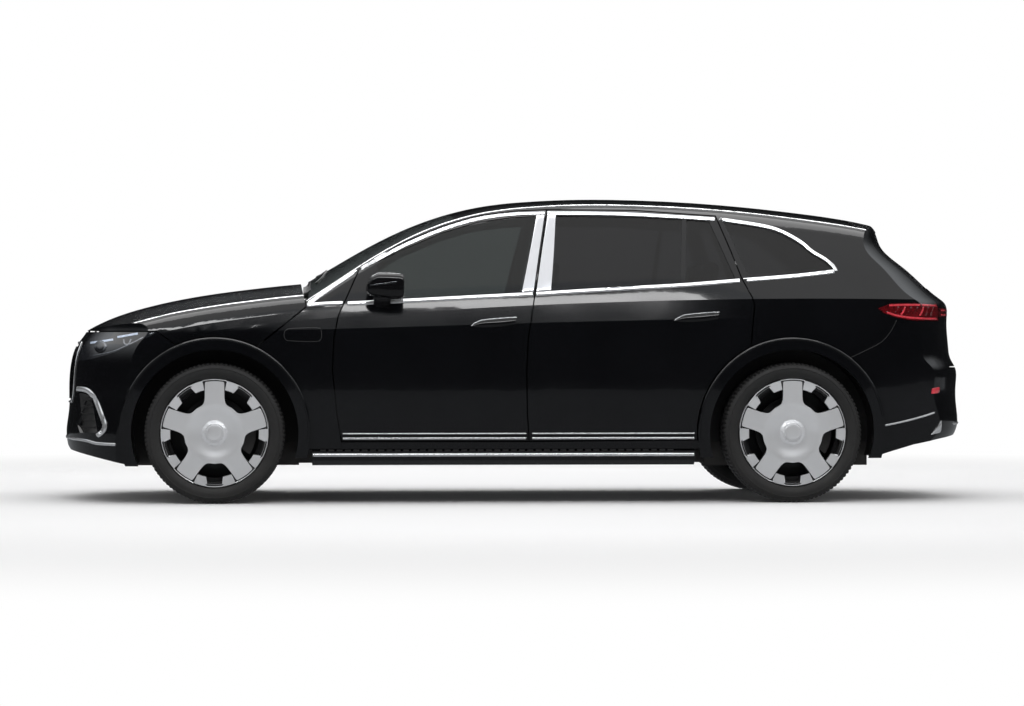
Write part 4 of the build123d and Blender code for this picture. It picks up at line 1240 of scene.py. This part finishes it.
@dataclass
class DoorTrim:
    """Flush handles and the bright line along the top of each."""

    def build(self, shop: Workshop) -> None:
        """Builds and mounts the trim of all doors."""
        for name, node, left, low in (
            ("front", "door_left_front", -280, 974), ("rear", "door_left_rear", 852, 1004),
        ):
            skin = Skin(node)
            grip = plate(
                f"handle_{name}_left", skin, LEFT_VIEW,
                [(left, low + 4), (left + 70, low), (left + 170, low + 6), (left + 244, low + 18)],
                [(left + 3, low + 9), (left + 60, low + 38), (left + 170, low + 49), (left + 252, low + 54)],
                proud=0.004, crown=0.006, edge=0.002, rows=8,
            )
            shop.mount_both(grip, node, "gloss_black")
            line = strip(
                f"handle_line_{name}_left", skin, LEFT_VIEW,
                [(left + 1, low + 8), (left + 28, low + 26), (left + 62, low + 39), (left + 170, low + 50),
                 (left + 252, low + 55)], 0.005, proud=0.008,
            )
            shop.mount_both(line, node, "chrome")


@dataclass
class NoseTrim:
    """Lamp elements, intake trim, lower lip, grille frame and fins, and seals behind the bonnet's edges."""

    lip_width: float = 0.016
    fin_pitch: float = 66.0
    projector: Point = (-2338, 868)

    def build(self, shop: Workshop) -> None:
        """Builds and mounts everything on the nose."""
        self.lamps(shop)
        self.intakes(shop)
        self.grille(shop)
        self.seal(shop)

    def lamps(self, shop: Workshop) -> None:
        """Light bars, projector, inner bracket and side lamp behind each headlamp's lens."""
        skin = Skin("headlamps")
        shape = {"proud": 0.0012, "depth": 0.003, "edge": 0.0005}
        for name, points, width, finish in (
            ("bar_rear", [(-2240, 921), (-2180, 931), (-2122, 941)], 0.011, "lamp_white"),
            ("bar_front", [(-2402, 889), (-2330, 898), (-2264, 908)], 0.011, "lamp_white"),
            ("bracket", [(-2202, 908), (-2200, 886), (-2188, 879), (-2172, 882), (-2160, 910)], 0.009,
             "lamp_clear"),
            ("foot_line", [(-2420, 812), (-2330, 826), (-2250, 846), (-2150, 890), (-2090, 921)], 0.006,
             "lamp_clear"),
        ):
            piece = strip(f"headlamp_{name}_left", skin, LEFT_VIEW, points, width, **shape)
            shop.mount_both(piece, "body", finish)
        x, z = self.projector
        for name, radius, proud, finish in (
            ("bezel", 36, 0.0010, "lamp_clear"), ("lens", 25, 0.0034, "headlamp"),
        ):
            low = [(x - radius * math.cos(a), z - radius * math.sin(a)) for a in arc_steps(math.pi)]
            high = [(x - radius * math.cos(a), z + radius * math.sin(a)) for a in arc_steps(math.pi)]
            piece = plate(f"headlamp_{name}_left", skin, LEFT_VIEW, low, high, proud=proud, depth=0.003,
                          crown=0.003, edge=0.0, pitch=0.006, rows=8)
            shop.mount_both(piece, "body", finish)
        side_lamp = plate("headlamp_side_lamp_left", skin, LEFT_VIEW,
                          [(-2062, 922), (-2040, 934), (-2030, 940)],
                          [(-2058, 938), (-2042, 943), (-2030, 944)], pitch=0.006, **shape)
        shop.mount_both(side_lamp, "body", "lamp_clear")

    def intakes(self, shop: Workshop) -> None:
        """The bright bracket and dark slats of each outer intake, and the bright lower lip."""
        skin = Skin("front_bumper")
        opening = plate("intake_left", skin, LEFT_VIEW, [(-2440, 392), (-2400, 388), (-2352, 388)],
                        [(-2462, 606), (-2428, 604), (-2392, 590)], proud=0.0015, rows=8)
        shop.mount_both(opening, "body", "black_plastic")
        for index in range(5):
            level = 420 + 38 * index
            slat = strip(f"intake_slat_{index}_left", skin, LEFT_VIEW,
                         [(-2448, level), (-2410, level), (-2362 - 6 * index, level)], 0.008,
                         proud=0.007, depth=0.008)
            shop.mount_both(slat, "body", "black_plastic")
        bracket = strip("intake_bracket_left", skin, LEFT_VIEW,
                        [(-2478, 632), (-2440, 629), (-2404, 618), (-2366, 573), (-2330, 490), (-2308, 432),
                         (-2322, 396), (-2352, 374)], 0.028, crown=0.005)
        shop.mount_both(bracket, "body", "chrome")
        lip = strip("front_lip", skin, NOSE_WRAP,
                    [(-890, 326), (-760, 330), (-640, 346), (-300, 354), (0, 356), (300, 354),
                     (640, 346), (760, 330), (890, 326)], self.lip_width, crown=0.003)
        shop.mount(lip, "body", "chrome")

    def grille(self, shop: Workshop) -> None:
        """The bright frame of the grille and its upright fins."""
        frame_skin, skin = Skin("front_bumper", "grille"), Skin("grille")
        outline = [(-404, 556), (0, 553), (404, 556), (440, 600), (460, 690), (452, 800), (436, 868),
                   (400, 888), (0, 890), (-400, 888), (-436, 868), (-452, 800), (-460, 690), (-440, 600),
                   (-404, 556)]
        border = strip("grille_frame", frame_skin, FRONT_VIEW, outline, 0.010, crown=0.003)
        shop.mount(border, "body", "chrome")
        for index in range(-6, 7):
            y = self.fin_pitch * index
            inset = 14 if abs(index) < 6 else 40
            fin = strip(f"grille_fin_{index + 6}", skin, FRONT_VIEW,
                        [(y, 560 + inset), (y, 720), (y, 880 - inset)], 0.012, proud=0.005, depth=0.010,
                        crown=0.003)
            shop.mount(fin, "body", "gloss_black")

    def seal(self, shop: Workshop) -> None:
        """The dark seals behind the gaps from the bonnet to the lamps and to the arch trims."""
        skin = Skin("front_bumper", "headlamps", "bonnet")
        low = [(a, 928) for a in range(-1150, 1151, 50)]
        high = [(a, 972) for a in range(-1150, 1151, 50)]
        seal = plate("bonnet_seal", skin, NOSE_WRAP, low, high, proud=-0.034, depth=0.004, edge=0.0, rows=1)
        shop.mount(seal, "body", "black_plastic")
        arch = Skin("arch_trims", "bonnet", "front_fenders", "front_bumper")
        rails = [arch_line(FRONT_AXLE, radius, -34, 38) for radius in (506, 578)]
        seal = plate("arch_seal_left", arch, LEFT_VIEW, *rails, proud=-0.036, depth=0.004, edge=0.0, rows=2)
        shop.mount_both(seal, "body", "black_plastic")


@dataclass
class SplashGuard:
    """The dark plates that close the lower inside of each wheel arch, ahead of and behind the arms."""

    size: Tuple[float, float, float] = (0.33, 0.006, 0.136)
    offset: float = 0.300
    height: float = 0.266

    def build(self, shop: Workshop) -> None:
        """Builds and mounts the plates of all arches."""
        for row, axle, y in (("front", FRONT_AXLE, -0.474), ("rear", REAR_AXLE, -0.644)):
            plates = [
                rounded_block(f"guard_{sign}", self.size, (axle + sign * self.offset, y, self.height), 0.002)
                for sign in (-1, 1)
            ]
            shop.mount_both(joined(f"splash_guard_{row}_left", plates), "body", "underbody")


@dataclass
class ArchLip:
    """The rounded painted lip along the outer edge of each arch trim."""

    radius: float = 521.0
    width: float = 0.015

    def build(self, shop: Workshop) -> None:
        """Builds and mounts the lips of all arches."""
        skin = Skin("arch_trims")
        for row, axle, start, end in (("front", FRONT_AXLE, -76, 96), ("rear", REAR_AXLE, -96, 80)):
            points = arch_line(axle, self.radius, start, end)
            lip = strip(f"arch_lip_{row}_left", skin, LEFT_VIEW, points, self.width, proud=0.0005,
                        crown=0.006, depth=0.004, edge=0.0, rows=8)
            shop.mount_both(lip, "body", "paint")


@dataclass
class SillTrim:
    """Bright lines low on doors and running boards, the boards' rubber studs and the fender flap's line."""

    stud_pitch: float = 0.046

    def build(self, shop: Workshop) -> None:
        """Builds and mounts the trim along both sills."""
        for name, node, start, end in (
            ("front", "door_left_front", -990, 26), ("rear", "door_left_rear", 60, 966),
        ):
            skin = Skin(node)
            middle = (start + end) / 2
            for level, width, word in ((386, 0.007, "upper"), (359, 0.011, "lower")):
                line = strip(f"sill_line_{word}_{name}_left", skin, LEFT_VIEW,
                             [(start, level), (middle, level), (end, level)], width, crown=0.002)
                shop.mount_both(line, node, "chrome")
        boards = Skin("running_boards")
        line = strip("board_line_left", boards, LEFT_VIEW, [(-1156, 269), (-100, 269), (962, 269)], 0.016,
                     crown=0.003)
        shop.mount_both(line, "body", "chrome")
        shop.mount_both(self.studs(), "body", "black_plastic")
        fender = Skin("front_fenders")
        flap = [(-1300, 902), (-1200, 897), (-1122, 899), (-1110, 912), (-1107, 940), (-1112, 964),
                (-1128, 973), (-1210, 972), (-1296, 966), (-1312, 952), (-1314, 920), (-1300, 902)]
        outline = strip("fender_flap_line_left", fender, LEFT_VIEW, flap, 0.004, proud=0.0006, depth=0.002,
                        edge=0.0)
        shop.mount_both(outline, "body", "black_plastic")

    def studs(self) -> bpy.types.Object:
        """A row of rubber studs on the top of the left running board."""
        low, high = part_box("running_boards")
        lean = Matrix.Rotation(math.atan2(12, 45), 4, "X")
        count = int((high.x - low.x - 0.12) / self.stud_pitch)
        studs = []
        for index in range(count):
            place = (low.x + 0.06 + index * self.stud_pitch, -0.931, 0.2938)
            studs.append(rounded_block(f"stud_{index}", (0.032, 0.016, 0.005), place, 0.0015, 2, lean))
        return joined("board_studs_left", studs)


@dataclass
class TailTrim:
    """Tail lamp elements, light band lines, bumper trim, reflectors and shut lines at the rear."""

    def build(self, shop: Workshop) -> None:
        """Builds and mounts everything at the tail."""
        lamp, bumper = Skin("tail_lamps"), Skin("rear_bumper")
        shape = {"proud": 0.0010, "depth": 0.003, "edge": 0.0005}
        for name, points in (
            ("upper", [(2066, 1099), (2150, 1102), (2250, 1102), (2372, 1100)]),
            ("lower", [(2052, 1060), (2110, 1042), (2200, 1030), (2300, 1026), (2372, 1026)]),
        ):
            piece = strip(f"tail_lamp_{name}_left", lamp, LEFT_VIEW, points, 0.010, **shape)
            shop.mount_both(piece, "body", "lamp_red")
        for index in range(7):
            x = 2112 + 38 * index
            slat = strip(f"tail_lamp_slat_{index}_left", lamp, LEFT_VIEW,
                         [(x - 16, 1042 + max(0, 3 - index) * 3), (x, 1066), (x + 10, 1092)], 0.009, **shape)
            shop.mount_both(slat, "body", "lamp_red" if index % 3 == 1 else "tail_lamp")
        band = Skin("tail_light_band")
        for level in (1048, 1074):
            line = strip(f"light_band_line_{level}", band, REAR_VIEW,
                         [(-600, level), (0, level), (600, level)], 0.008, **shape)
            shop.mount(line, "tailgate", "lamp_red")
        # The reflector takes the glowing lamp_red finish, so it glows though it is no lamp: a painted glow.
        reflector = plate("reflector_left", bumper, LEFT_VIEW, [(2318, 603), (2344, 604), (2372, 608)],
                          [(2322, 632), (2346, 637), (2374, 640)], proud=0.002, crown=0.002)
        shop.mount_both(reflector, "body", "lamp_red")
        line = strip("rear_bumper_line_left", bumper, LEFT_VIEW,
                     [(1990, 418), (2140, 446), (2260, 474), (2338, 496)], 0.009, crown=0.002)
        shop.mount_both(line, "body", "chrome")
        corner = plate("rear_corner_trim_left", bumper, LEFT_VIEW, [(2322, 372), (2352, 378), (2380, 384)],
                       [(2366, 428), (2374, 440), (2384, 452)], proud=0.003, crown=0.004)
        shop.mount_both(corner, "body", "chrome")
        lip = strip("rear_lip", bumper, TAIL_WRAP,
                    [(-560, 430), (-300, 430), (0, 430), (300, 430), (560, 430)], 0.014, crown=0.003)
        shop.mount(lip, "body", "chrome")
        seam = strip("rear_bumper_seam_left", Skin("rear_bumper", "body_sides"), LEFT_VIEW,
                     [(1842, 808), (1950, 858), (2020, 896), (2070, 950), (2108, 1016)], 0.005,
                     proud=0.0004, depth=0.002, edge=0.0)
        shop.mount_both(seam, "body", "black_plastic")


@dataclass
class MirrorTrim:
    """The mirrors' housings with their feet, the mirror glass and the indicator lines."""

    front_x: float = -0.862
    length: float = 0.208
    middle_y: float = -0.984
    stations: Tuple[Tuple[float, float, float, float], ...] = (
        (0.00, 1.187, 0.014, 0.045), (0.05, 1.194, 0.034, 0.068), (0.14, 1.205, 0.055, 0.085),
        (0.30, 1.212, 0.066, 0.093), (0.60, 1.207, 0.071, 0.095), (0.90, 1.205, 0.070, 0.095),
        (1.00, 1.205, 0.062, 0.089),
    )

    def section(self, share: float) -> Tuple[float, float, float]:
        """Middle height, half height and half width of the housing at a share of its length."""
        for low, high in zip(self.stations, self.stations[1:]):
            if share <= high[0]:
                part = (share - low[0]) / (high[0] - low[0])
                return tuple(a + (b - a) * part for a, b in zip(low[1:], high[1:]))
        return self.stations[-1][1:]

    def housing(self) -> bpy.types.Object:
        """The left mirror's rounded housing, slim at its front, and the foot that carries it."""

        def place(u: float, v: float) -> Vector:
            """A point of the housing by its shares round and along it, closed at both ends."""
            share = min(max((v - 0.12) / 0.76, 0.0), 1.0)
            shrink = min(1.0, v / 0.12, (1.0 - v) / 0.12)
            middle, half_height, half_width = self.section(share)
            cosine, sine = math.cos(2 * math.pi * u), math.sin(2 * math.pi * u)
            size = shrink * (abs(cosine) ** 4 + abs(sine) ** 4) ** -0.25
            return Vector((self.front_x + self.length * share, self.middle_y + half_width * size * cosine,
                           middle + half_height * size * sine))

        shell = wrapped_grid("shell", 64, 50, place)
        merge(shell)
        round_edges(shell, 0.006, 3)
        foot = rounded_block("foot", (0.096, 0.130, 0.042), (-0.772, -0.928, 1.116), 0.016, 4,
                             Matrix.Rotation(math.radians(-38), 4, "X"))
        smooth(shell)
        return joined("mirror_housing_left", [shell, foot])

    def build(self, shop: Workshop) -> None:
        """Builds and mounts both mirrors."""
        left = self.housing()
        right = mirrored(left, "mirror_housing_right")
        for side, housing in ((Side.LEFT, left), (Side.RIGHT, right)):
            shop.mount(housing, f"door_{side.word}_front", "gloss_black", [f"mirror_{side.word}"])
        skin = Skin("mirror_left")
        glass = plate("mirror_glass_left", skin, REAR_VIEW, [(-1056, 1164), (-990, 1160), (-918, 1166)],
                      [(-1056, 1252), (-990, 1258), (-918, 1252)], proud=0.0015, depth=0.003, rows=6)
        shop.mount_both(glass, "door_left_front", "mirror_glass")
        line = strip("mirror_indicator_left", skin, LEFT_VIEW,
                     [(-840, 1206), (-770, 1214), (-690, 1226), (-662, 1236)], 0.007, proud=0.001,
                     depth=0.003)
        shop.mount_both(line, "door_left_front", "lamp_clear")


@dataclass
class Scuttle:
    """The dark panel between bonnet and windscreen, and the two wipers on it."""

    half_width: float = 0.64
    front_x: float = -1.207
    rear_x: float = -1.170

    def build(self, shop: Workshop) -> None:
        """Builds and mounts the panel and the wipers."""
        bonnet, screen = Skin("bonnet"), Skin("windscreen")

        def place(u: float, v: float) -> Vector:
            """A point of the panel by its shares across and backwards."""
            y = (2 * u - 1) * self.half_width
            ahead = bonnet.hit(TOP_VIEW, self.front_x - 0.022, y)
            behind = screen.hit(TOP_VIEW, self.rear_x + 0.004, y * 0.96)
            front = ahead[0].z - 0.016 if ahead else 1.19
            rear = behind[0].z - 0.002 if behind else front
            dip = -0.006 * math.sin(math.pi * v)
            x = self.front_x + (self.rear_x - self.front_x) * v
            return Vector((x, y, front + (rear - front) * v + dip))

        panel = wrapped_grid("scuttle_panel", 48, 6, place)
        if sum((p.normal * p.area for p in panel.data.polygons), Vector()).z < 0:
            flip(panel)
        thicken(panel, 0.020)
        smooth(panel)
        shop.mount(panel, "body", "black_plastic")
        for index, points in enumerate((
            [(-1135, -520), (-1098, -420), (-1076, -200), (-1078, 40), (-1094, 110)],
            [(-1128, 60), (-1086, 160), (-1072, 360), (-1098, 540), (-1116, 590)],
        )):
            blade = strip(f"wiper_{index}", screen, TOP_VIEW, points, 0.014, proud=0.004, depth=0.006,
                          crown=0.004)
            shop.mount(blade, "body", "black_plastic")


# Cabin


@dataclass
class Pad:
    """One stuffed piece of a seat: a crowned, rounded block with side bolsters and sewn channels."""

    name: str
    size: Tuple[float, float, float]
    centre: Tuple[float, float, float]
    lean: float
    face: int
    facing: int = 1
    crown: float = 0.014
    bolster: float = 0.022
    channels: Tuple[float, ...] = (-0.36, -0.12, 0.12, 0.36)
    radius: float = 0.034
    cuts: int = 22

    def make(self) -> bpy.types.Object:
        """Models the pad.

        Returns:
            The new object, in its place.
        """
        clear_selection()
        bpy.ops.mesh.primitive_cube_add(size=2.0)
        obj = fresh(self.name)
        bpy.ops.object.mode_set(mode="EDIT")
        bpy.ops.mesh.select_all(action="SELECT")
        bpy.ops.mesh.subdivide(number_cuts=self.cuts)
        bpy.ops.object.mode_set(mode="OBJECT")
        half = Vector(self.size) / 2
        radius = min(self.radius, min(half) * 0.9)
        for vertex in obj.data.vertices:
            share = vertex.co.copy()
            spot = Vector(share[i] * half[i] for i in range(3))
            core = Vector(max(-half[i] + radius, min(half[i] - radius, spot[i])) for i in range(3))
            out = spot - core
            vertex.co = core + (out.normalized() * radius if out.length > 1e-6 else out)
            outer = share[self.face] * self.facing > 0
            vertex.co[self.face] += self.facing * self.rise(share) * (1 if outer else -0.35)
        turn = Matrix.Rotation(math.radians(self.lean), 4, "Y")
        obj.data.transform(Matrix.Translation(Vector(self.centre)) @ turn)
        subdivide(obj, 1)
        smooth(obj, 80)
        return obj

    def rise(self, share: Vector) -> float:
        """How far the stuffing lifts the face at a place of the pad, from its shares of the half size."""
        along = share[2 if self.face == 0 else 0]
        across = share.y
        swell = self.crown * (1 - along ** 4) * (1 - across ** 4)
        wing = max(0.0, (abs(across) - 0.55) / 0.45)
        swell += self.bolster * wing * wing * (3 - 2 * wing) * (1 - across ** 8) * (1 - along ** 6)
        for line in self.channels:
            swell -= 0.006 * math.exp(-(((across - line) / 0.028) ** 2)) * (1 - along ** 8)
        return swell * abs(share[self.face]) ** 3


@dataclass
class Seat:
    """One seat: base, cushion, backrest, head restraint and its posts."""

    name: str
    front_x: float
    y: float
    width: float
    floor: float = 0.345

    def build(self, shop: Workshop, replaced: Sequence[str]) -> None:
        """Builds and mounts the seat, which stands for the CAD seats that are named."""
        x, z, y, wide = self.front_x, self.floor, self.y, self.width
        pads = (
            Pad(f"cushion_{self.name}", (0.455, wide - 0.01, 0.125), (x + 0.217, y, z + 0.212), 5.2, 2),
            Pad(f"backrest_{self.name}", (0.095, wide - 0.01, 0.635), (x + 0.565, y, z + 0.502), 15.9, 0, -1),
            Pad(f"head_restraint_{self.name}", (0.078, 0.272, 0.150), (x + 0.657, y, z + 0.928), 9.0, 0, -1,
                crown=0.006, bolster=0.008, channels=(), cuts=12),
        )
        for index, pad in enumerate(pads):
            piece = pad.make()
            shop.mount(piece, "body", "leather", replaced if index == 1 else ())
        base = rounded_block(f"seat_base_{self.name}", (0.36, wide - 0.12, 0.15), (x + 0.235, y, z + 0.077),
                             0.012)
        shop.mount(base, "body", "interior")
        posts = [
            rounded_block(f"post_{side.word}", (0.012, 0.012, 0.11),
                          (x + 0.636, y + side.value * 0.07, z + 0.838), 0.005, 3,
                          Matrix.Rotation(math.radians(14), 4, "Y"))
            for side in Side
        ]
        shop.mount(joined(f"seat_posts_{self.name}", posts), "body", "chrome")


@dataclass
class Cabin:
    """Seats, dashboard screens and vents, steering-wheel pad, and the doors' inner trim."""

    front_seat_x: float = FRONT_AXLE + 1.240
    rear_seat_x: float = FRONT_AXLE + 2.150

    def build(self, shop: Workshop) -> None:
        """Builds and mounts everything inside."""
        for row, x, y, width in (
            ("front", self.front_seat_x, 0.370, 0.520), ("rear", self.rear_seat_x, 0.375, 0.560),
        ):
            for side in Side:
                replaced = [f"{row}_seats"] if side is Side.LEFT else []
                Seat(f"{row}_{side.word}", x, side.value * y, width).build(shop, replaced)
        self.dashboard(shop)
        self.steering_pad(shop)
        self.door_cards(shop)

    def dashboard(self, shop: Workshop) -> None:
        """One wide screen panel, a bright line under it and round vents at its ends."""
        skin = Skin("dashboard")
        screen = plate("dash_screen", skin, REAR_VIEW, [(-620, 925), (-200, 915), (200, 905), (620, 925)],
                       [(-620, 1010), (-200, 1020), (200, 1020), (620, 1010)], proud=0.004, depth=0.008,
                       rows=6)
        shop.mount(screen, "body", "screen")
        line = strip("dash_line", skin, REAR_VIEW, [(-640, 895), (-200, 880), (200, 872), (640, 895)], 0.010,
                     crown=0.003)
        shop.mount(line, "body", "brushed_chrome")
        vents = []
        for y in (-600, -520, 520, 600):
            ring = [(y + 30 * math.cos(a), 850 + 30 * math.sin(a)) for a in arc_steps(2 * math.pi)]
            vents.append(strip(f"vent_{y}", skin, REAR_VIEW, ring, 0.008, proud=0.006, depth=0.010))
        shop.mount(joined("dash_vents", vents), "body", "brushed_chrome")

    def steering_pad(self, shop: Workshop) -> None:
        """The padded middle of the steering wheel."""
        joint = JOINTS["steering_wheel_turn"]
        axis = Vector(joint["axis"]).normalized()
        turn = Vector((0, 0, 1)).rotation_difference(axis).to_matrix().to_4x4()
        centre = Vector(joint["pos_m"]) + axis * 0.020
        pad = rounded_block("steering_pad", (0.15, 0.19, 0.040), centre, 0.018, 4, turn)
        shop.mount(pad, "steering_wheel", "interior")

    def door_cards(self, shop: Workshop) -> None:
        """A soft panel, an arm rest and a grip inside every door."""
        inside = View("inside_left", lambda a, b: (Vector((a, -0.02, b)), Vector((0, -1, 0))))
        for node, start, end in (("door_left_front", -930, -60), ("door_left_rear", 200, 900)):
            skin = Skin(node)
            short = node.replace("door_left_", "")
            middle = (start + end) / 2
            card = plate(f"door_card_{short}_left", skin, inside,
                         [(start, 700), (middle, 690), (end - 40, 700)],
                         [(start + 30, 1040), (middle, 1060), (end - 10, 1080)], proud=0.004, depth=0.008,
                         rows=10, crown=0.010, pitch=0.05)
            shop.mount_both(card, node, "leather")
            rest = strip(f"door_arm_rest_{short}_left", skin, inside,
                         [(start + 80, 770), (middle, 752), (end - 90, 745)], 0.070, proud=0.012, depth=0.020,
                         crown=0.034, edge=0.004, rows=10, pitch=0.04)
            shop.mount_both(rest, node, "interior")
            grip = strip(f"door_grip_{short}_left", skin, inside,
                         [(start + 90, 900), (middle, 890), (end - 110, 900)], 0.012, proud=0.018,
                         depth=0.010)
            shop.mount_both(grip, node, "brushed_chrome")


def main() -> None:
    """Builds every part of the scene in order."""
    logging.basicConfig(level=logging.INFO, format="%(message)s")
    bpy.context.scene.view_settings.view_transform = "Standard"
    Studio().build()
    shop = Workshop(Palette())
    for corner in ("left_front", "left_rear", "right_front", "right_rear"):
        side = Side.LEFT if corner.startswith("left") else Side.RIGHT
        RoadWheel(corner, side).build(shop)
    GlasshouseTrim().build(shop)
    for assembly in (
        DoorTrim(), NoseTrim(), SplashGuard(), ArchLip(), SillTrim(), TailTrim(), MirrorTrim(), Scuttle(),
        Cabin(),
    ):
        assembly.build(shop)
    LOG.info("%d pieces", shop.count)


if __name__ == "__main__":
    main()
